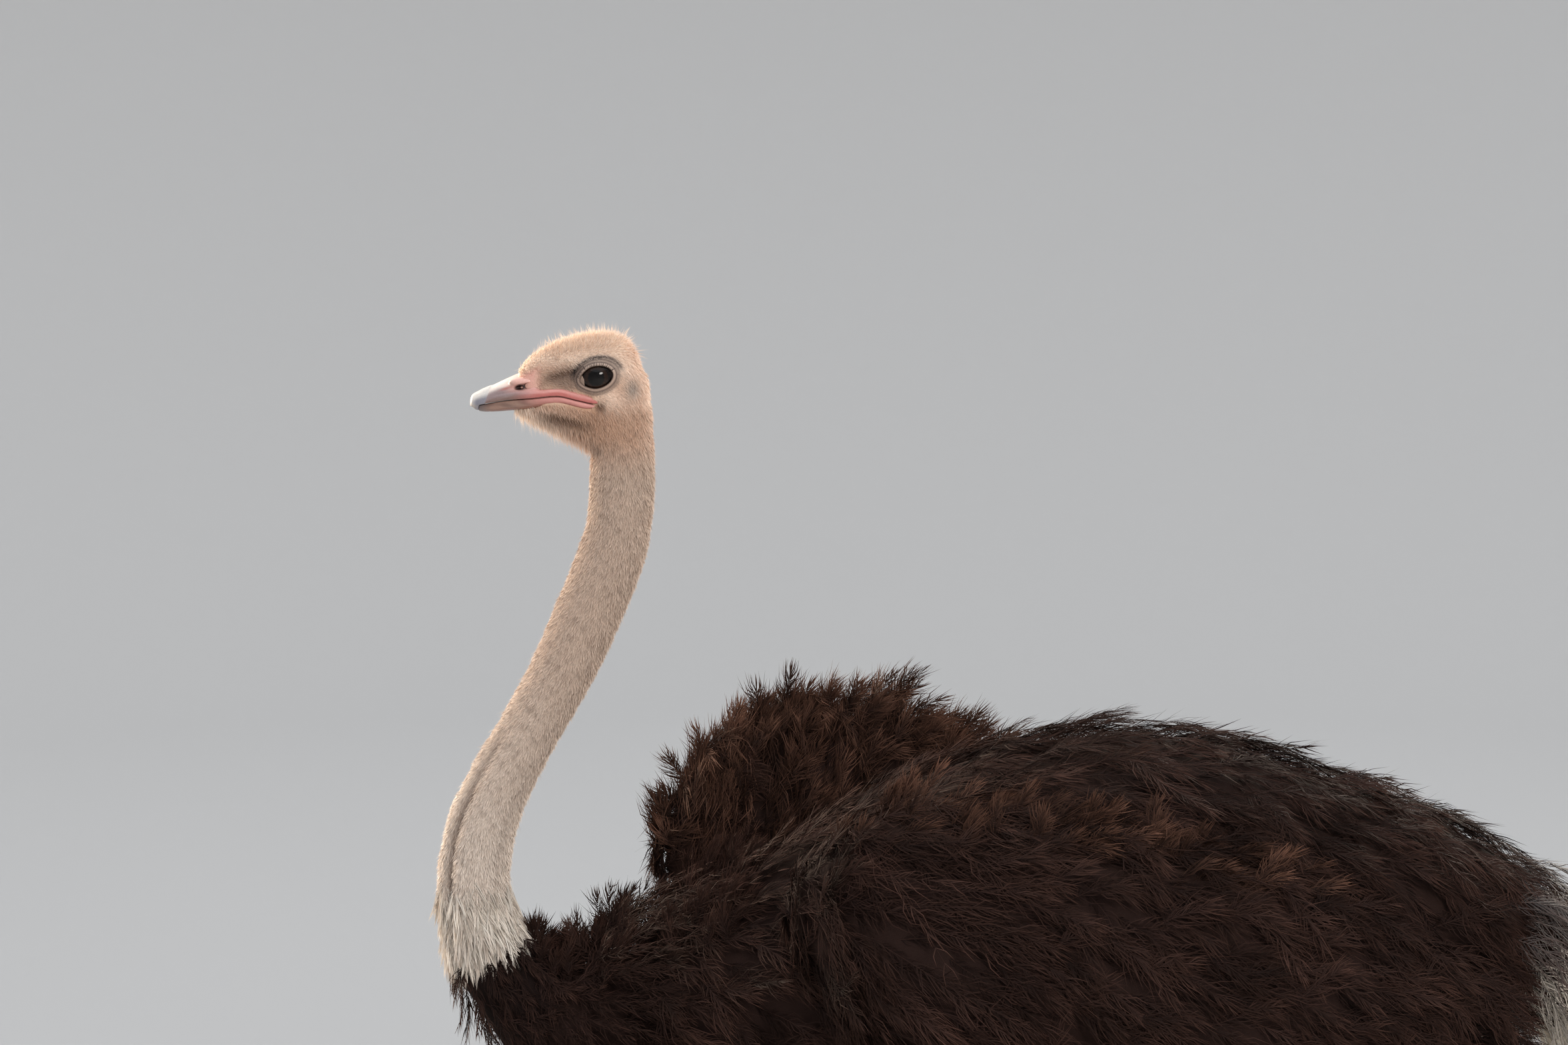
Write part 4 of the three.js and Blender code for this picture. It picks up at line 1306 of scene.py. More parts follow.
def plate_batch(body, places, half_turn, lengths, middle, lift):
    """Overlapping horn plates across a leg's front or a toe's back, as one mesh's arrays."""
    across, down = 11, 7
    s, t = np.linspace(-1, 1, across), np.linspace(0, 1, down)
    all_points, all_faces, colours = [], [], []
    count = 0
    for place, length in zip(places, lengths):
        rows = place + t * length * 1.12
        edge = 0.10 * length * (1 - s ** 2)
        place_grid = rows[:, None] + edge[None, :] * t[:, None]
        turn_grid = middle + half_turn * s[None, :]
        swell = lift * (0.25 + 0.75 * np.sin(np.clip(t * 1.15, 0, 1) * math.pi * 0.62))[:, None]
        swell = swell * (1 - 0.9 * np.abs(s[None, :]) ** 5)
        top = body.at(np.clip(place_grid, 0, body.last), turn_grid, -swell)
        under = body.at(np.clip(place_grid, 0, body.last), turn_grid, 1.2)
        ring = np.concatenate([top, under[:, ::-1]], 1)
        points, quads, triangles = closed_mesh(ring)
        all_points.append(points)
        all_faces.append((quads + count, triangles + count))
        shade = np.concatenate([np.tile(np.abs(np.concatenate([s, s[::-1]])), down), [0.5, 0.5]])
        worn = np.concatenate([np.repeat(t, 2 * across), [0, 1]])
        tone = mix(SCUTE, LEG_PINK, 0.5 * smoothstep(0.9, 0.2, shade))
        tone = mix(tone, SCUTE_WORN, 0.6 * smoothstep(0.75, 1.0, worn))
        colours.append(tone)
        count += len(points)
    quads, triangles = (np.concatenate([f[k] for f in all_faces]) for k in (0, 1))
    return np.concatenate(all_points), quads, triangles, np.concatenate(colours)


# Where in the leg's table the plates of the shank begin and end, and how long each is there.
SHANK = (8.15, 12.7)
SCUTE_LENGTH = 15.0 / 84.0
SCUTE_LENGTH_LOW = 13.0 / 62.0


def scutes(side_name, side):
    """The broad plates down the front of one shank and along the backs of its toes."""
    leg = LEG_BODY[side]
    places, lengths = [], []
    place, stop = SHANK
    while place < stop:
        length = SCUTE_LENGTH if place < 12 else SCUTE_LENGTH_LOW
        places.append(place)
        lengths.append(length)
        place += length
    sets = [plate_batch(leg, places, 0.78, lengths, math.pi, 1.5)]
    big, small = foot_roots(side)
    for table, root, turn, start, end, step in (
        (BIG_TOE, big, 0.0, 1.55, 5.75, 0.27),
        (SMALL_TOE, small, -side * SMALL_TOE_TURN, 0.9, 3.7, 0.29),
    ):
        starts = np.arange(start, end, step)
        toe, steps = toe_body(table, root, turn), np.full(len(starts), step)
        sets.append(plate_batch(toe, starts, 0.85, steps, 0.0, 1.3))
    offset, merged = 0, ([], [], [], [])
    for points, quads, triangles, colours in sets:
        for store, values in zip(merged, (points, quads + offset, triangles + offset, colours)):
            store.append(values)
        offset += len(points)
    points, quads, triangles, colours = (np.concatenate(v) for v in merged)
    piece = new_object(f"scutes_{side_name}", points, quads, triangles)
    write_colours(piece.data, colours)
    return piece


# ---- Coat: tufts and feathers ------------------------------------------------------------------

PATCH = 0.003


class Tufts:
    """Gathers tufts for one piece of the coat."""

    def __init__(self):
        self.points, self.quads, self.triangles, self.tints, self.maps = [], [], [], [], []
        self.count = 0

    def add(self, points, quads, triangles, tints, roots, local):
        """Adds n like tufts.

        points is (n, k, 3), quads and triangles are one tuft's faces, roots the places of the tufts
        on the unwrap, and local the layout of one tuft there.
        """
        n, k = points.shape[:2]
        start = self.count + np.arange(n)[:, None, None] * k
        self.points.append(points.reshape(-1, 3))
        for store, faces in ((self.quads, quads), (self.triangles, triangles)):
            faces = np.asarray(faces)
            if len(faces):
                store.append((start + faces[None]).reshape(-1, faces.shape[-1]))
        self.tints.append(tints.reshape(-1, 3))
        spread = (local - 0.5) * PATCH
        self.maps.append((roots[:, None, :] + spread[None]).reshape(-1, 2))
        self.count += n * k

    def build(self, name, material, slot):
        points = np.concatenate(self.points)
        quads = np.concatenate(self.quads) if self.quads else None
        triangles = np.concatenate(self.triangles) if self.triangles else None
        piece = new_object(name, points, quads, triangles)
        write_colours(piece.data, np.clip(np.concatenate(self.tints), 0, 1))
        maps = np.concatenate(self.maps)
        order = np.concatenate([f.reshape(-1) for f in (quads, triangles) if f is not None])
        layer = piece.data.uv_layers.new(name="OFBake")
        layer.data.foreach_set("uv", maps[order].astype(np.float32).reshape(-1))
        return finish_piece(piece, material, slot)


def skin_samples(skin, count, wanted, seed):
    """Points and normals spread evenly over the skin, as densely as wanted weighs each face."""
    rng = np.random.default_rng(seed)
    mesh = skin.data
    mesh.calc_loop_triangles()
    corners = np.zeros(len(mesh.loop_triangles) * 3, np.int32)
    mesh.loop_triangles.foreach_get("vertices", corners)
    corners = corners.reshape(-1, 3)
    points = read_table_points(mesh)
    normals = np.zeros(len(mesh.vertices) * 3, np.float32)
    mesh.vertices.foreach_get("normal", normals)
    normals = normals.reshape(-1, 3)
    middle = points[corners].mean(1)
    area = np.linalg.norm(np.cross(points[corners[:, 1]] - points[corners[:, 0]],
                                   points[corners[:, 2]] - points[corners[:, 0]]), axis=1)
    weight = np.cumsum(area * wanted(middle))
    steps = (np.arange(count) + rng.uniform(size=count)) * weight[-1] / count
    chosen = corners[np.searchsorted(weight, steps)]
    share = rng.dirichlet((1, 1, 1), count)[..., None]
    return (points[chosen] * share).sum(1), unit((normals[chosen] * share).sum(1))


def blades(points, directions, normals, lengths, widths, bend, rng):
    """Tapering hairs of two bends each: their points, faces and layout."""
    n = len(points)
    flat = unit(np.cross(directions, normals) + 0.35 * rng.normal(size=(n, 3)))
    rise = unit(directions)
    sag = bend[:, None] * np.array([0.0, 0.0, -1.0])
    half = (widths / 2)[:, None]
    reach = lengths[:, None]
    root = points - normals * 0.6
    middle = points + rise * reach * 0.55 + sag * reach * 0.25
    tip = points + rise * reach + sag * reach
    blade = np.stack([root - flat * half, root + flat * half, middle + flat * half * 0.8,
                      middle - flat * half * 0.8, tip], 1)
    local = np.array([[0, 0], [1, 0], [0.9, 0.55], [0.1, 0.55], [0.5, 1]], float)
    return blade, [[0, 1, 2, 3]], [[3, 2, 4]], local


def along_surface(directions, normals, lift):
    """Directions laid onto the surface and raised off it by an angle."""
    laid = unit(directions - normals * np.sum(directions * normals, 1, keepdims=True))
    return laid * np.cos(lift)[:, None] + normals * np.sin(lift)[:, None]


def on_map(across, up):
    """Places on the unwrap, a little inside its edges, from shares of its width and height."""
    return 0.02 + 0.96 * np.stack([across, np.clip(up, 0, 1)], 1)


def head_unwrap(points):
    """A place on the unwrap of the head: its way round and its height."""
    round_head = np.arctan2(points[:, 1], points[:, 0] + 245) / TAU + 0.5
    return on_map(round_head, (points[:, 2] - 1540) / 260)


def neck_unwrap(points):
    """A place on the unwrap of the neck: its way round and its place along it."""
    place = neck_place(points)
    rows = along(NECK, place)
    turn = np.arctan2(points[:, 1], points[:, 0] - rows[:, 0]) / TAU + 0.5
    return on_map(turn, (place - 1.5) / 11.5)


def bare_face(points):
    """Nought on the bare parts of the face: the eye, the lid's rim, the bill, the mouth's rims."""
    x, y, z = points.T
    out = np.abs(y)
    lid = lid_distance(x, z)
    open_eye = np.clip(smoothstep(3.0, 6.5, lid) + (out < 26), 0, 1)
    beside = smoothstep(8.0, 11.0, np.abs(z - mouth_height(x) - 0.5))
    rims = 1 - (1 - beside) * smoothstep(-219, -226, x) * (out > 22)
    nose = 1 - smoothstep(-290, -298, x) * smoothstep(1745, 1736, z - 0.5 * (x + 304)) * (z > 1702)
    front = 1 - smoothstep(-314, -319, x) * (z > 1702) * (z < 1741)
    return open_eye * rims * nose * front


def head_flow(points):
    """The way the down lies on the head: back over the crown, then more and more downwards."""
    x, y, z = points.T
    low = smoothstep(1745, 1655, z)
    out = 0.15 * np.sign(y) * smoothstep(5, 25, np.abs(y))
    back = np.stack([np.ones(len(x)), out, -0.25 - 2.2 * low ** 2], 1)
    rear = smoothstep(-205, -175, x)[:, None]
    return unit(back * (1 - rear) + rear * np.array([0.25, 0.0, -1.0]))


def down_piece(skin, material, name, wanted, count, unwrap, seed):
    """Down: upright on the crown, hanging under the chin, lying close along the neck."""
    points, normals = skin_samples(skin, count, wanted, seed)
    rng = np.random.default_rng(seed + 1)
    n = len(points)
    x, y, z = points.T
    place = neck_place(points)
    on_neck = smoothstep(1665, 1600, z)
    crown = smoothstep(1750, 1776, z)
    chin = smoothstep(-0.35, -0.8, normals[:, 2]) * smoothstep(-215, -240, x)
    chin = chin * smoothstep(1640, 1655, z)
    close = smoothstep(16, 4, lid_distance(x, z)) * (np.abs(y) > 28)
    rows = along(NECK, np.stack([place - 0.05, place + 0.05], 1))
    step = rows[:, 1] - rows[:, 0]
    down = unit(np.stack([step[:, 0], np.zeros(n), step[:, 1]], 1))
    flow = mix(head_flow(points), down, on_neck) + chin[:, None] * np.array([0.3, 0.0, -1.3])
    flow = unit(flow) + 0.24 * rng.normal(size=(n, 3))
    lift = np.radians(25 + 40 * crown + 16 * chin) + rng.normal(size=n) * 0.17
    low = smoothstep(7, 10, place) * on_neck
    lengths = (6.0 + 3.0 * crown + 8.0 * chin + 2.5 * low) * rng.uniform(0.6, 1.3, n)
    lengths = lengths * (1 - 0.6 * close)
    longer = rng.uniform(size=n) < 0.02 + 0.09 * np.maximum(crown, chin)
    lengths = lengths + longer * rng.uniform(3, 9 + 4 * crown, n)
    lift = lift + longer * crown * 0.5
    directions = along_surface(flow, normals, lift)
    widths = (0.66 + 0.12 * on_neck + 0.25 * low) * rng.uniform(0.7, 1.3, n)
    widths = widths * (1 - 0.35 * close - 0.3 * longer)
    bend = 0.1 + 0.2 * chin
    blade, quads, triangles, local = blades(
        points, directions, normals, lengths, widths, bend, rng)
    tint = down_colour(points) * rng.uniform(0.86, 1.2, n)[:, None]
    # Tips paler than the rest; the extra paleness on the crown and chin is painted backlight.
    tips = mix(tint, CREAM, 0.35 + 0.3 * np.maximum(crown, chin))
    root = tint * 0.85
    tufts = Tufts()
    tints = np.stack([root, root, tint, tint, tips], 1)
    tufts.add(blade, quads, triangles, tints, unwrap(points), local)
    return tufts.build(name, material, "down")


# The neck's down in three pieces: name, first and last place in the neck's table, seed.
NECK_THIRDS = (("upper", 2.2, 5.2, 111), ("middle", 5.2, 8.2, 121), ("lower", 8.2, 11.1, 131))


def neck_stretch(low, high):
    """Weighs the skin of the neck between two places in its table."""

    def wanted(points):
        place = neck_place(points)
        near = (points[:, 2] < 1640) * (points[:, 0] < NECK_END) * (np.abs(points[:, 1]) < 70)
        return (place >= low) * (place < high) * near

    return wanted


def on_head(points):
    """Weighs the skin of the head and throat, without the bare parts of the face."""
    near = (neck_place(points) < 2.2) * (points[:, 2] > 1556) * (points[:, 0] < NECK_END)
    return near * bare_face(points)


def lock_strands(roots, normals, flow, lengths, rng, strands, spread, width,
                 tints, tip_tints, droop):
    """Locks: each a sheaf of strands of four bends that draw together at the tip."""
    n = len(roots)
    offset = rng.normal(size=(n, strands, 3)) * spread
    side = unit(np.cross(flow, normals))
    curl = rng.normal(size=(n, 1, 1)) * 0.10
    t = np.array([0.0, 0.28, 0.56, 0.8, 1.0])
    drawn = (1 - 0.75 * t ** 1.5)[None, None, :, None]
    path = roots[:, None, None, :] + offset[:, :, None, :] * drawn
    own = lengths[:, None] * rng.uniform(0.75, 1.1, (n, strands))
    path = path + flow[:, None, None, :] * (own[..., None] * t)[..., None]
    path = path + side[:, None, None, :] * (curl * own[..., None] * t ** 2)[..., None]
    path = path + np.array([0, 0, -1.0]) * (droop * own[..., None] * t ** 2)[..., None]
    path = path.reshape(n * strands, 5, 3)
    across = unit(np.cross(np.repeat(flow, strands, 0), rng.normal(size=(n * strands, 3))))
    half = width / 2 * np.array([1.0, 1.0, 0.85, 0.6])
    left = path[:, :4] - across[:, None, :] * half[None, :, None]
    right = path[:, :4] + across[:, None, :] * half[None, :, None]
    points = np.concatenate([left, right, path[:, 4:]], 1)
    quads = [[k, k + 4, k + 5, k + 1] for k in range(3)]
    share = np.concatenate([t[:4], t[:4], t[4:]])
    low, high = (np.repeat(t, strands, 0)[:, None, :] for t in (tints, tip_tints))
    shades = mix(low, high, share[None, :])
    shades = shades * rng.uniform(0.88, 1.12, (n * strands, 1, 1))
    local = np.stack([np.concatenate([np.zeros(4), np.ones(4), [0.5]]), share], 1)
    return points, quads, [[3, 7, 8]], shades, local


def collar_locks(skin, material):
    """The white locks between the bare-looking neck and the black plumage."""
    tufts = Tufts()

    def wanted(p):
        place = neck_place(p)
        return smoothstep(9.1, 9.7, place) * (place < 10.95) * (p[:, 2] < 1150) * (p[:, 0] < -240)

    points, normals = skin_samples(skin, 900, wanted, 141)
    rng = np.random.default_rng(142)
    n = len(points)
    flow = unit(np.array([0.35, 0.0, -1.0]) + 0.25 * rng.normal(size=(n, 3)))
    directions = along_surface(flow, normals, np.radians(16) + rng.normal(size=n) * 0.1)
    lengths = rng.uniform(17, 34, n)
    tints = mix(COLLAR_WHITE, NECK_TAN, rng.uniform(0, 0.5, n)) * rng.uniform(0.85, 1.05, (n, 1))
    strands = 9
    locks, quads, triangles, shades, local = lock_strands(
        points, normals, directions, lengths, rng, strands, 2.0, 1.2, tints * 0.8, tints, 0.18)
    where = np.repeat(neck_unwrap(points), strands, 0)
    tufts.add(locks, quads, triangles, shades, where, local)
    return tufts.build("collar_locks", material, "collar")


# Lashes, then bristles: number, distance from the lid's edge, length, the turns between which they
# stand round the lid, and how far they stand out sideways.
LASH_ROWS = ((64, 0.8, 7.5, 0.25, 2.9, 1.0), (150, 9.0, 4.2, 0.5, 2.75, 0.3))


def lashes(material):
    """The stiff lashes of the upper lids, and the dark bristles over them."""
    tufts = Tufts()
    rng = np.random.default_rng(151)
    for side in (-1, 1):
        for count, out, reach, low, high, stand in LASH_ROWS:
            angle = rng.uniform(low, high, count)
            away = out + rng.uniform(-0.8, 0.8, count) * (out > 2)
            a = (LID["length"] + away) * np.cos(angle)
            o = (LID["height"] + away) * np.sin(angle)
            x = LID["x"] + a * math.cos(LID["tilt"]) - o * math.sin(LID["tilt"])
            z = LID["z"] + a * math.sin(LID["tilt"]) + o * math.cos(LID["tilt"])
            across = (x - EYE["x"]) / (EYE["length"] + 3.4)
            over = (z - EYE["z"]) / (EYE["height"] + 3.4)
            inner = 1 - across ** 2 - over ** 2
            y = EYE["y"] + (EYE["depth"] + 2.6) * np.sqrt(np.maximum(inner, 0.05))
            roots = np.stack([x, side * y, z], 1)
            back = 0.55 * np.cos(angle) + (1.0 - stand)
            fan = np.stack([back, np.full(count, side * stand), 0.75 * np.sin(angle)], 1)
            flow = unit(fan + 0.12 * rng.normal(size=(count, 3)))
            normals = np.tile(np.array([0.0, side, 0.0]), (count, 1))
            lengths = reach * rng.uniform(0.7, 1.1, count)
            dark = np.tile(LASH_DARK, (count, 1))
            points, quads, triangles, shades, local = lock_strands(
                roots, normals, flow, lengths, rng, 1, 0.15, 0.42, dark, dark * 0.8, -0.12)
            where = np.stack([0.25 + 0.25 * side + angle / TAU, np.full(count, 0.5)], 1)
            tufts.add(points, quads, triangles, shades, where, local)
    return tufts.build("lashes", material, "down")


# One feather: a shaft and barbs in small sheaves along both its edges.
SHAFT_STEPS = 9


def feather_layout(sheaves):
    """Faces and layout of one feather: the shaft's strip, then each sheaf, pointed at its end."""
    steps = SHAFT_STEPS
    quads = [[k, k + 1, k + 1 + steps, k + steps] for k in range(steps - 1)]
    triangles = []
    local = [(across, t) for across in (0.48, 0.52) for t in np.linspace(0, 1, steps)]
    base = 2 * steps
    for sheaf in range(sheaves):
        t = (sheaf + 0.5) / sheaves
        for side in (-1, 1):
            quads.append([base, base + 1, base + 3, base + 2])
            triangles.append([base + 2, base + 3, base + 4])
            half, end = 0.5 + side * 0.25, 0.5 + side * 0.48
            local += [(0.5, t), (0.5, t + 0.02), (half, t + 0.01), (half, t + 0.03)]
            local.append((end, t + 0.05))
            base += 5
    return quads, triangles, np.clip(np.array(local, float), 0, 1)


def beyond(body, place, turn, depth):
    """Points on a body or, past its last place, straight on from its end."""
    inner = np.clip(place, -1, body.last)
    over = np.maximum(place - body.last, 0)[..., None]
    point = body.at(inner, turn, depth)
    end = body.at(np.full_like(inner, body.last), turn, depth)
    return point + (end - body.at(np.full_like(inner, body.last - 0.25), turn, depth)) * 4 * over


def lying_shafts(body, place, turn, style, rng, depth):
    """The shafts of feathers that lie along a body, and the way their backs face."""
    n = len(place)
    depth = np.broadcast_to(depth, n)
    _, _, by_place, by_turn = body.frame_at(place, turn, depth * 0.5)
    length = style["length"](place, turn) * rng.uniform(0.8, 1.15, n)
    roots = body.at(place, turn)
    stray = style.get("stray", 0.16) + 0.8 * smoothstep(0.6, -0.4, place)
    lean = style["lean"](place, turn) + rng.normal(size=n) * stray
    lean = lean + style.get("drift", 0.3) * waves(roots, 85, 71)
    run = length * np.cos(lean) / np.linalg.norm(by_place, axis=1)
    swing = length * np.sin(lean) * np.sign(np.sin(turn)) / np.linalg.norm(by_turn, axis=1)
    t = np.linspace(0, 1, SHAFT_STEPS)
    rise = smoothstep(0.0, 0.6, t)[None, :] * rng.uniform(style.get("low", 0.5), 1.0, n)[:, None]
    clump = np.clip(1 + 0.9 * waves(roots, 50, 72), 0, 2.2)
    lifted = style.get("lifted", 0.0) * (clump * rng.uniform(0.2, 1.0, n))[:, None] * t ** 3
    sunk = depth[:, None] * (1 - rise) - lifted
    places, turns = place[:, None] + run[:, None] * t, turn[:, None] + swing[:, None] * t
    path = beyond(body, places, turns, sunk)
    sag = length[:, None] * (style.get("curl", 0.1) * rng.uniform(0.2, 1.5, n)[:, None]) * t ** 2.5
    beside = beyond(body, places, turns + 0.02, sunk) - path
    path = path - np.array([0, 0, 1.0]) * sag[..., None]
    normal = unit(np.cross(np.gradient(path, axis=1), beside))
    centre = body.lay(body.table, np.clip(places, 0.3, body.last))[0]
    return path, normal * np.where(np.sum(normal * (path - centre), -1, keepdims=True) < 0, -1, 1)


def standing_shafts(body, place, turn, style, rng, depth):
    """The shafts of feathers that stand up off a body's edge. slope is their lean to the tail."""
    n = len(place)
    length = style["length"](place, turn) * rng.uniform(0.7, 1.2, n)
    t = np.linspace(0, 1, SHAFT_STEPS)
    slope = style["slope"](place) + rng.normal(size=n) * style.get("stray", 0.2)
    angle = slope[:, None] + rng.uniform(0.0, 1.0, (n, 1)) * style.get("curl", 0.4) * t ** 2
    out = np.broadcast_to(rng.normal(size=(n, 1)) * 0.14, angle.shape)
    ahead = unit(np.stack([np.sin(angle), out, np.cos(angle)], -1))
    steps = np.cumsum(ahead, axis=1) - ahead
    steps = steps * (length / (SHAFT_STEPS - 1))[:, None, None]
    path = body.at(place, turn, depth)[:, None, :] + steps
    facing = unit(np.array([0.0, 1.0, 0.0]) + 0.3 * rng.normal(size=(n, 1, 3)))
    return path, unit(facing - ahead * np.sum(facing * ahead, -1, keepdims=True))


def vanes(tufts, shafts, base, tip, style, rng, maps):
    """Adds feathers along shafts: a thin strip for each, and barbs in sheaves at both its edges."""
    path, normal = shafts
    n = len(path)
    t = np.linspace(0, 1, SHAFT_STEPS)
    ahead = unit(np.gradient(path, axis=1))
    twist = rng.normal(size=(n, 1, 1)) * 0.28
    side = np.cross(ahead, normal)
    normal, side = unit(normal + twist * side), unit(side - twist * normal)
    thin = style["shaft"] / 2 * (1 - 0.85 * t)[None, :, None]
    parts = [path - side * thin + normal * 0.4, path + side * thin + normal * 0.4]
    patchy = 1 + 0.35 * np.clip(waves(path[:, 0], 55, 73), -1, 1)
    tone = rng.uniform(0.7, 1.3, (n, 1)) * patchy[:, None]
    base, tip = base * tone, tip * tone
    tints = [np.broadcast_to(mix(base, tip, 0.3)[:, None, :] * 1.25, (n, SHAFT_STEPS, 3))] * 2
    sheaves = style["sheaves"]
    at = (np.arange(sheaves) + 0.5) / sheaves
    where = at * (SHAFT_STEPS - 1)
    low = np.minimum(where.astype(int), SHAFT_STEPS - 2)
    part = (where - low)[None, :, None]

    def pick(values):
        return values[:, low] * (1 - part) + values[:, low + 1] * part

    root, forward, out, up = pick(path), unit(pick(ahead)), unit(pick(side)), unit(pick(normal))
    profile = np.sqrt(np.clip(at / 0.42, 0.12, 1)) * (1 - 0.45 * smoothstep(0.72, 1.0, at))
    ripple = 0.22 * np.sin(at[None, :] * rng.uniform(18, 46, (n, 1)) + rng.uniform(0, TAU, (n, 1)))
    barbs = []
    for hand in (-1, 1):
        reach = style["width"] * profile[None, :] * rng.uniform(0.6, 1.25, (n, sheaves))
        angle = np.radians(style.get("angle", 36)) * (1 - 0.55 * at ** 2)[None, :] + ripple
        angle = angle + rng.normal(size=(n, sheaves)) * 0.13
        bent = angle * rng.uniform(-0.2, 0.7, (n, sheaves))
        along_barb = forward * np.cos(angle)[..., None] + out * (hand * np.sin(angle))[..., None]
        later = forward * np.cos(bent)[..., None] + out * (hand * np.sin(bent))[..., None]
        drop = up * (rng.normal(size=(n, sheaves)) * 0.18 - 0.08)[..., None]
        drop = drop - np.array([0, 0, style.get("hang", 0.12)])
        middle = root + (along_barb + drop * 0.4) * (reach * 0.5)[..., None]
        end = middle + (later + drop) * (reach * 0.6)[..., None]
        half = (style.get("sheaf", 0.62) * rng.uniform(0.6, 1.3, (n, sheaves)))[..., None]
        start = root + out * hand * style["shaft"] * 0.2
        flat = forward * np.sin(angle)[..., None] - out * (hand * np.cos(angle))[..., None]
        flat = unit(flat + up * rng.normal(size=(n, sheaves, 1)) * 0.5)
        barb = np.stack([start - flat * half, start + flat * half,
                         middle - flat * half * 0.9, middle + flat * half * 0.9, end], 2)
        shade = rng.uniform(0.75, 1.25, (n, sheaves, 1, 1))
        toward, far = np.array([0.0, 0.0, 0.45, 0.45, 1.0]), at[None, :, None]
        share = np.clip(toward * (0.35 + 0.65 * far) + 0.25 * (far - 0.5), 0, 1)
        barbs.append((barb, mix(base[:, None, None, :], tip[:, None, None, :], share) * shade))
    parts.append(np.stack([b[0] for b in barbs], 2).reshape(n, -1, 3))
    tints.append(np.stack([b[1] for b in barbs], 2).reshape(n, -1, 3))
    quads, triangles, local = feather_layout(sheaves)
    tufts.add(np.concatenate(parts, 1), quads, triangles, np.concatenate(tints, 1), maps, local)


def body_unwrap(body):
    """The place of roots on a body's own unwrap: round it one way, along it the other."""

    def unwrap(place, turn):
        return on_map(np.mod(turn, TAU) / TAU, place / body.last)

    return unwrap


def spread_roots(body, low, high, spacing, keep, rng, turns=(0.0, TAU)):
    """Roots spread over a body in loose rows about a spacing apart, where keep(points) says so."""
    places = np.linspace(low, high, 160)
    ring, fine_ring = np.linspace(*turns, 64), np.linspace(*turns, 129)
    grid = body.at(places[:, None], ring[None, :])
    down = np.linalg.norm(np.diff(grid, axis=0), axis=-1).mean(1)
    walked = np.concatenate([[0], np.cumsum(down)])
    place_list, turn_list = [], []
    rows = int(walked[-1] / spacing)
    for row in range(rows):
        place = np.interp((row + 0.5) / rows * walked[-1], walked, places)
        line = body.at(np.full(len(fine_ring), place), fine_ring)
        girth = np.concatenate([[0], np.cumsum(np.linalg.norm(np.diff(line, axis=0), axis=-1))])
        count = max(3, int(girth[-1] / spacing))
        shift = (0.5 if row % 2 else 0.0) + 0.35 * rng.uniform(-1, 1, count)
        at = np.mod((np.arange(count) + shift) / count, 1)
        turn_list.append(np.interp(at * girth[-1], girth, fine_ring))
        jitter = rng.uniform(-0.4, 0.4, count) * (high - low) / rows
        place_list.append(np.clip(place + jitter, low, high))
    place, turn = np.concatenate(place_list), np.concatenate(turn_list)
    wanted = keep(body.at(place, turn))
    return place[wanted], turn[wanted]


def inside(body, points, margin=0.0):
    """True for points inside a body whose table runs along x."""
    column = np.array([row[0] for row in body.table], float)
    place = np.interp(points[:, 0], column, np.arange(len(column)))
    centre, _, up, side, tall, wide, square = body.lay(body.table, place)
    off = points - centre
    a = np.sum(off * up, 1) / (tall - margin)
    b = np.sum(off * side, 1) / (wide - margin)
    within = np.abs(a) ** square + np.abs(b) ** square < 1
    return within & (points[:, 0] > column[0]) & (points[:, 0] < column[-1])


def even(value):
    """A feather measure or colour that is the same all over a body."""
    return lambda place, turn: np.zeros(len(place)) + value


def even_colour(colour):
    return lambda place, turn: np.tile(colour, (len(place), 1))


def black_style(length, width, lean, **more):
    """The black body plumage: nearly black at the shaft, its tips brown, partly worn and partly
    painted light on lit strands.
    """
    style = dict(length=length, width=width, lean=lean, shaft=0.9, sheaves=30)
    style["base"] = even_colour(mix(BLACK, UMBER, 0.1))
    # Brown tips: partly wear, partly painted light.
    style["tip"] = even_colour(mix(UMBER, RUST, 0.15))
    style.update(more)
    return style


def white_style(length, width, lean, **more):
    """The white plumes: broader, on stouter shafts."""
    style = dict(length=length, width=width, lean=lean, shaft=1.4, sheaves=32)
    style["base"] = even_colour(mix(DIRTY_WHITE, PLUME_WHITE, 0.5))
    style["tip"] = even_colour(PLUME_WHITE)
    style.update(more)
    return style


def grown_feathers(tufts, body, reach, spacing, keep, style, seed,
                   depth=PLUMAGE_DEPTH, turns=(0.0, TAU)):
    """Adds the feathers of one stretch of a body, between two places of its table."""
    rng = np.random.default_rng(seed)
    place, turn = spread_roots(body, *reach, spacing, keep, rng, turns)
    depth = depth(place) if callable(depth) else depth
    shafts = standing_shafts if "slope" in style else lying_shafts
    base, tip = style["base"](place, turn), style["tip"](place, turn)
    grown = shafts(body, place, turn, style, rng, depth)
    vanes(tufts, grown, base, tip, style, rng, body_unwrap(body)(place, turn))


def outside_of(*bodies, margin=0.0):
    """Keeps the roots that lie outside all of the bodies, less a margin."""

    def keep(points):
        wanted = np.ones(len(points), bool)
        for body in bodies:
            wanted &= ~inside(body, points, margin)
        return wanted

    return keep


def everywhere(points):
    return np.ones(len(points), bool)


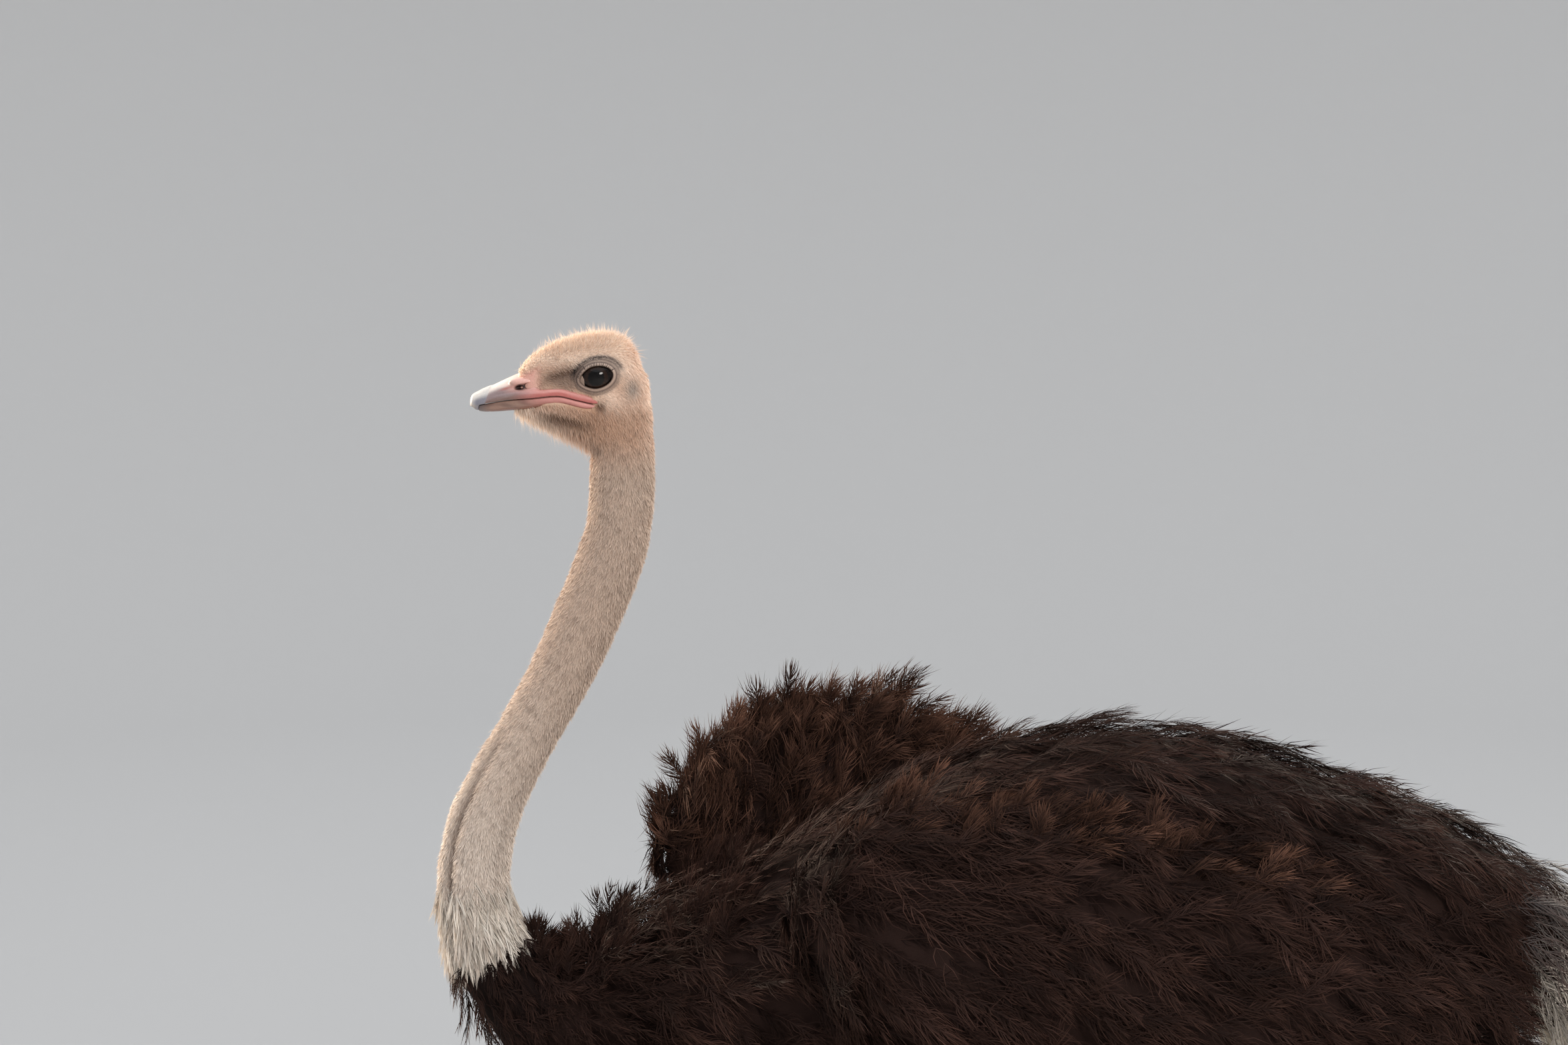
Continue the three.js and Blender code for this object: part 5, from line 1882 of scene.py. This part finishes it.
def base_feathers(spacing, material):
    """The short black feathers of the neck's base, ruffled along its upper side."""
    tufts = Tufts()
    long = lambda p, t: 34 + 18 * np.clip(p - 10.6, 0, 3.4)
    style = black_style(long, 22, even(0.1), curl=0.2, lifted=12, stray=0.35, sheaves=16, shaft=0.7)
    grown_feathers(
        tufts, NECK_BODY, (10.7, 14.7), spacing * 0.6, everywhere, style, 201, coat_depth)
    rise = lambda p, t: 26 + 34 * smoothstep(11.8, 13.6, p)
    ruffled = black_style(
        rise, 26, None, slope=lambda p: 0.35, curl=0.9, stray=0.4, sheaves=24, shaft=0.7)
    grown_feathers(
        tufts, NECK_BODY, (11.4, 14.7), spacing * 0.55, everywhere, ruffled, 202, coat_depth,
        (-0.9, 0.9))
    return tufts.build("feathers_neck_base", material, "trunk")


def trunk_feathers(spacing, material):
    """The black feathers of breast, back and flanks."""
    wings = outside_of(WING_BODY[-1], WING_BODY[1], margin=16)
    long = lambda p, t: 72 + 30 * smoothstep(1, 5, p)
    lean = lambda p, t: 0.16 + 0.24 * np.abs(np.sin(t))
    style = black_style(long, 38, lean, curl=0.14, lifted=14, stray=0.3)
    ruffled = black_style(even(62), 28, None, slope=lambda p: 0.5, curl=0.8, stray=0.4, sheaves=26)
    for name, reach, turns, seed in (
        ("feathers_breast", (0.0, 3.4), (0.0, TAU), 211),
        ("feathers_back", (3.4, 10.0), (-1.35, 1.35), 212),
        ("feathers_flanks", (3.4, 10.0), (1.35, TAU - 1.35), 213),
    ):
        tufts = Tufts()
        grown_feathers(tufts, TRUNK_BODY, reach, spacing, wings, style, seed, turns=turns)
        if name == "feathers_breast":
            grown_feathers(
                tufts, TRUNK_BODY, (0.0, 2.4), spacing * 0.6, everywhere, ruffled, 214,
                turns=(-1.0, 1.0))
        tufts.build(name, material, "trunk")


def wing_feathers(spacing, material):
    """The black coverts of both wings: the left folded, the right raised with fans on its edge."""
    upward = lambda p, t: 0.1 - 1.2 * smoothstep(6.0, 2.5, p) * smoothstep(-0.9, 0.4, p)
    lit = even_colour(SUNLIT_BROWN)
    folded = black_style(even(92), 38, even(0.16), curl=0.16, lifted=18, stray=0.36)
    raised = black_style(even(84), 38, upward, curl=0.05, lifted=18, stray=0.3, tip=lit)
    front = black_style(even(58), 28, even(0.3), curl=0.3, lifted=10, stray=0.5, sheaves=22)
    tufted = black_style(
        even(60), 28, None, slope=lambda p: 0.7 + 0.05 * p, curl=0.8, stray=0.5, tip=lit)
    rise = lambda p, t: 36 + 26 * smoothstep(-0.2, 1.4, p) + 42 * bump(p - 3.6, 0.35)
    fans = black_style(rise, 36, None, curl=0.6, stray=0.25, angle=44, sheaves=40, tip=lit)
    fans["slope"] = lambda p: -0.55 + 0.5 * smoothstep(-0.9, 1.0, p) + 0.9 * smoothstep(0.0, 5.6, p)
    for name, side, lying, standing, reach, turns, seed in (
        ("feathers_wing_left", -1, folded, tufted, (0.6, 6.0), (-0.6, 0.9), 221),
        ("feathers_wing_right", 1, raised, fans, (-0.75, 5.6), (-1.7, 0.7), 222),
    ):
        body = WING_BODY[side]
        tufts = Tufts()
        keep = outside_of(TRUNK_BODY, margin=10)
        grown_feathers(tufts, body, (-0.9, body.last), spacing, keep, lying, seed, WING_DEPTH)
        grown_feathers(tufts, body, (-0.9, 1.6), spacing * 0.72, keep, front, seed + 8, WING_DEPTH)
        grown_feathers(
            tufts, body, reach, spacing * 0.85, everywhere, standing, seed + 4,
            WING_DEPTH * 1.5, turns)
        tufts.build(name, material, "wing")


def plume_feathers(spacing, material):
    """The white plumes of both wings."""
    style = white_style(even(150), 48, even(0.05), curl=0.30, lifted=10, stray=0.3, hang=0.3)
    keep = outside_of(TRUNK_BODY, margin=16)
    for side, name, seed in ((-1, "plumes_left", 231), (1, "plumes_right", 232)):
        tufts = Tufts()
        body = PLUME_BODY[side]
        grown_feathers(tufts, body, (-0.9, body.last), spacing, keep, style, seed, WING_DEPTH)
        tufts.build(name, material, "white_plumes")


def tail_feathers(spacing, material):
    """The tail: dirty white plumes, brown at their roots."""
    tufts = Tufts()
    style = white_style(even(140), 46, even(0.06), curl=0.22, lifted=8, stray=0.24, hang=0.25)
    style["base"] = lambda p, t: mix(BLACK, DIRTY_WHITE, smoothstep(0.8, 2.0, p))
    style["tip"] = lambda p, t: mix(mix(UMBER, RUST, 0.6), PLUME_WHITE, smoothstep(0.6, 1.8, p))
    keep = outside_of(TRUNK_BODY, margin=20)
    grown_feathers(tufts, TAIL_BODY, (0.0, TAIL_BODY.last), spacing, keep, style, 241, TAIL_DEPTH)
    return tufts.build("feathers_tail", material, "tail")


# ---- Stage -------------------------------------------------------------------------------------


def studio_bowl(reach):
    """Points and faces of a round floor that curves up into a wall, in the tables' millimetres."""
    arc = np.linspace(0, math.pi / 2, 24)
    bend = reach * 0.35
    radii = np.concatenate([[0.02, reach * 0.3], reach - bend + bend * np.sin(arc), [reach]]) / MM
    heights = np.concatenate([[0, 0], bend - bend * np.cos(arc), [reach * 0.75]]) / MM
    turns = np.linspace(0, TAU, 128, endpoint=False)
    x, y = radii[:, None] * np.cos(turns), radii[:, None] * np.sin(turns)
    grid = np.stack([x, y, np.broadcast_to(heights[:, None], x.shape)], -1)
    quads = grid_faces(*grid.shape[:2])[:, ::-1]
    middle = np.arange(128)[::-1]
    points = grid.reshape(-1, 3) - SHIFT / MM
    hub = np.full_like(middle[1:-1], middle[-1])
    return points, quads, np.stack([np.roll(middle, 1)[1:-1], hub, middle[1:-1]], -1)


# Name, place and aim in metres, size, watts, colour, spread in degrees.
LAMPS = (
    ("key", (1.25, -3.6, 3.0), (-0.3, 0.0, 1.3), 1.1, 72.0, (1.0, 0.94, 0.88), 180),
    ("rim_front", (-3.0, 1.8, 2.4), (-0.5, 0.0, 1.4), 1.0, 48.0, (1.0, 0.84, 0.66), 80),
    ("rim_back", (2.4, 3.0, 3.0), (0.0, 0.0, 1.2), 1.4, 46.0, (1.0, 0.88, 0.74), 90),
)
FLOOR_GREY = (0.57, 0.566, 0.56, 1)
SKY_GREY = (0.90, 0.92, 0.95, 1)
SKY_STRENGTH = 1.3


def area_light(name, place, target, size, power, colour, spread):
    data = bpy.data.lights.new(name, "AREA")
    data.shape = "DISK"
    data.spread = math.radians(spread)
    data.size = size
    data.energy = power
    data.color = colour
    lamp = bpy.data.objects.new(name, data)
    aim(lamp, place, target)
    bpy.context.scene.collection.objects.link(lamp)


def aim(thing, place, target):
    """Puts a lamp somewhere and points it at something."""
    ahead = unit(np.array(target, float) - np.array(place, float))
    right = unit(np.cross(ahead, np.array([0.0, 0.0, 1.0])))
    up = np.cross(right, ahead)
    thing.matrix_world = [[*right, 0], [*up, 0], [*-ahead, 0], [*place, 1]]


# ---- The add-on --------------------------------------------------------------------------------


class OstrichSettings(bpy.types.PropertyGroup):
    """Sizes that the looks are made from."""

    feather_spacing: bpy.props.FloatProperty(
        name="Feather spacing",
        description="Distance between the roots of neighbouring body feathers",
        default=0.0275, min=0.01, subtype="DISTANCE", unit="LENGTH",
    )
    neck_hairs: bpy.props.IntProperty(
        name="Neck down",
        description="Tufts of down on each third of the neck",
        default=38000, min=1000,
    )
    head_hairs: bpy.props.IntProperty(
        name="Head down",
        description="Tufts of down on the head and throat",
        default=50000, min=1000,
    )
    lens: bpy.props.FloatProperty(
        name="Lens",
        description="Focal length of the camera in millimetres",
        default=61.2, min=10.0,
    )
    camera_distance: bpy.props.FloatProperty(
        name="Camera distance",
        description="From the camera to the bird's middle plane",
        default=3.2, min=1.0, subtype="DISTANCE", unit="LENGTH",
    )
    camera_height: bpy.props.FloatProperty(
        name="Camera height",
        description="Height of the camera above the floor",
        default=1.83, min=0.1, subtype="DISTANCE", unit="LENGTH",
    )
    camera_tilt: bpy.props.FloatProperty(
        name="Camera tilt",
        description="How far the camera looks down",
        default=math.radians(4.84), subtype="ANGLE", unit="ROTATION",
    )
    studio_size: bpy.props.FloatProperty(
        name="Studio size",
        description="Width of the round studio whose floor turns up into its wall",
        default=26.0, min=8.0, subtype="DISTANCE", unit="LENGTH",
    )


class OSTRICH_OT_skin(bpy.types.Operator):
    """Builds the one skin that stands for all the flesh"""

    bl_idname = "ostrich.skin"
    bl_label = "Skin"

    def execute(self, context):
        parts = [trunk_skin(), leg_skin(-1), leg_skin(1), neck_skin(), head_skin()]
        skin = united("skin", parts)
        smooth_near(skin.data, seams(read_table_points(skin.data)))
        write_colours(skin.data, skin_colour(read_table_points(skin.data)))
        skin.data.polygons.foreach_set("use_smooth", np.ones(len(skin.data.polygons), bool))
        material = tinted_material("skin", 0.8, 520.0, 0.35, 0.45, cells=0.35, specular=0.08)
        flesh = [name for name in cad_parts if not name.startswith(("eye_", "bill_", "claw_"))]
        finish_piece(skin, material, "bare_skin", *flesh)
        return {"FINISHED"}


class OSTRICH_OT_bill(bpy.types.Operator):
    """Builds the two halves of the bill"""

    bl_idname = "ostrich.bill"
    bl_label = "Bill"

    def execute(self, context):
        material = tinted_material("bill", 0.36, 420.0, 0.22, 0.25, coat=0.2)
        for piece, colour, node in (
            (bill_upper_mesh(), bill_upper_colour, "bill_upper"),
            (bill_lower_mesh(), bill_lower_colour, "bill_lower"),
        ):
            write_colours(piece.data, colour(read_table_points(piece.data)))
            finish_piece(piece, material, "bill", node)
        return {"FINISHED"}


class OSTRICH_OT_eyes(bpy.types.Operator):
    """Builds the eyes and the lashes over them"""

    bl_idname = "ostrich.eyes"
    bl_label = "Eyes"

    def execute(self, context):
        material = tinted_material("eye", 0.1, 900.0, 0.15, 0.0, coat=0.3, specular=0.1)
        for name, side in SIDES.items():
            finish_piece(eyeball(name, side), material, "eye", f"eye_{name}")
        lashes(tinted_material("lash", 0.5, 900.0, 0.2, 0.0))
        return {"FINISHED"}


class OSTRICH_OT_feet(bpy.types.Operator):
    """Builds the claws, and the horn plates of shanks and toes"""

    bl_idname = "ostrich.feet"
    bl_label = "Claws and plates"

    def execute(self, context):
        horn = tinted_material("claw", 0.42, 380.0, 0.3, 0.4)
        plate = tinted_material("plate", 0.5, 600.0, 0.3, 0.4)
        for name, side in SIDES.items():
            big, small = foot_roots(side)
            turn = -side * SMALL_TOE_TURN
            large = claw_mesh(f"claw_large_{name}", BIG_CLAW, big, 0.0, 2.0)
            little = claw_mesh(f"claw_little_{name}", SMALL_CLAW, small, turn, 1.0)
            finish_piece(large, horn, "claw", f"claw_big_{name}")
            finish_piece(little, horn, "claw", f"claw_small_{name}")
            finish_piece(scutes(name, side), plate, "bare_skin")
        return {"FINISHED"}


class OSTRICH_OT_down(bpy.types.Operator):
    """Grows the down of head and neck, and the white locks of the collar"""

    bl_idname = "ostrich.down"
    bl_label = "Down"

    def execute(self, context):
        settings = context.scene.ostrich
        skin = bpy.data.objects["skin"]
        material = tinted_material("down", 0.8, 300.0, 0.15, 0.0, sheen=0.15)
        down_piece(skin, material, "down_head", on_head, settings.head_hairs, head_unwrap, 101)
        for name, low, high, seed in NECK_THIRDS:
            down_piece(skin, material, f"down_neck_{name}", neck_stretch(low, high),
                       settings.neck_hairs, neck_unwrap, seed)
        collar_locks(skin, material)
        return {"FINISHED"}


class OSTRICH_OT_plumage(bpy.types.Operator):
    """Grows the black body plumage"""

    bl_idname = "ostrich.plumage"
    bl_label = "Black plumage"

    def execute(self, context):
        spacing = context.scene.ostrich.feather_spacing / MM
        material = tinted_material("plumage", 0.66, 260.0, 0.25, 0.0, specular=0.05)
        base_feathers(spacing, material)
        trunk_feathers(spacing, material)
        wing_feathers(spacing, material)
        return {"FINISHED"}


class OSTRICH_OT_plumes(bpy.types.Operator):
    """Grows the white plumes of wings and tail"""

    bl_idname = "ostrich.plumes"
    bl_label = "White plumes"

    def execute(self, context):
        spacing = context.scene.ostrich.feather_spacing / MM
        material = tinted_material("white_plumage", 0.7, 260.0, 0.18, 0.0, sheen=0.3)
        plume_feathers(spacing, material)
        tail_feathers(spacing, material)
        return {"FINISHED"}


class OSTRICH_OT_stage(bpy.types.Operator):
    """Lays the floor and sets the lights and the camera"""

    bl_idname = "ostrich.stage"
    bl_label = "Floor, lights and camera"

    def execute(self, context):
        settings = context.scene.ostrich
        floor = new_object("floor", *studio_bowl(settings.studio_size / 2))
        paint = bpy.data.materials.new("floor")
        paint.use_nodes = True
        shader = paint.node_tree.nodes["Principled BSDF"]
        shader.inputs["Base Color"].default_value = FLOOR_GREY
        shader.inputs["Roughness"].default_value = 0.85
        floor.data.materials.append(paint)
        world = bpy.data.worlds.new("studio")
        world.use_nodes = True
        sky = world.node_tree.nodes["Background"]
        sky.inputs["Color"].default_value = SKY_GREY
        sky.inputs["Strength"].default_value = SKY_STRENGTH
        context.scene.world = world
        for lamp in LAMPS:
            area_light(*lamp)
        data = bpy.data.cameras.new("camera")
        data.lens = settings.lens
        data.sensor_width = 36.0
        data.clip_end = 200.0
        camera = bpy.data.objects.new("camera", data)
        camera.location = (SHIFT[0], SHIFT[1] - settings.camera_distance, settings.camera_height)
        camera.rotation_euler = (math.pi / 2 - settings.camera_tilt, 0.0, 0.0)
        context.scene.collection.objects.link(camera)
        context.scene.camera = camera
        context.scene.view_settings.view_transform = "Standard"
        return {"FINISHED"}


class OSTRICH_PT_panel(bpy.types.Panel):
    """Lists the pieces of the ostrich"""

    bl_idname = "OSTRICH_PT_panel"
    bl_label = "Ostrich"
    bl_space_type = "VIEW_3D"
    bl_region_type = "UI"
    bl_category = "Ostrich"

    def draw(self, context):
        for name in OstrichSettings.__annotations__:
            self.layout.prop(context.scene.ostrich, name)
        for operator in PIECES:
            self.layout.operator(operator.bl_idname)


PIECES = (
    OSTRICH_OT_skin,
    OSTRICH_OT_bill,
    OSTRICH_OT_eyes,
    OSTRICH_OT_feet,
    OSTRICH_OT_down,
    OSTRICH_OT_plumage,
    OSTRICH_OT_plumes,
    OSTRICH_OT_stage,
)
CLASSES = (OstrichSettings, *PIECES, OSTRICH_PT_panel)


def register():
    for item in CLASSES:
        bpy.utils.register_class(item)
    bpy.types.Scene.ostrich = bpy.props.PointerProperty(type=OstrichSettings)


def unregister():
    del bpy.types.Scene.ostrich
    for item in reversed(CLASSES):
        bpy.utils.unregister_class(item)


def main():
    register()
    for operator in PIECES:
        group, name = operator.bl_idname.split(".")
        getattr(getattr(bpy.ops, group), name)()


if __name__ == "__main__":
    main()
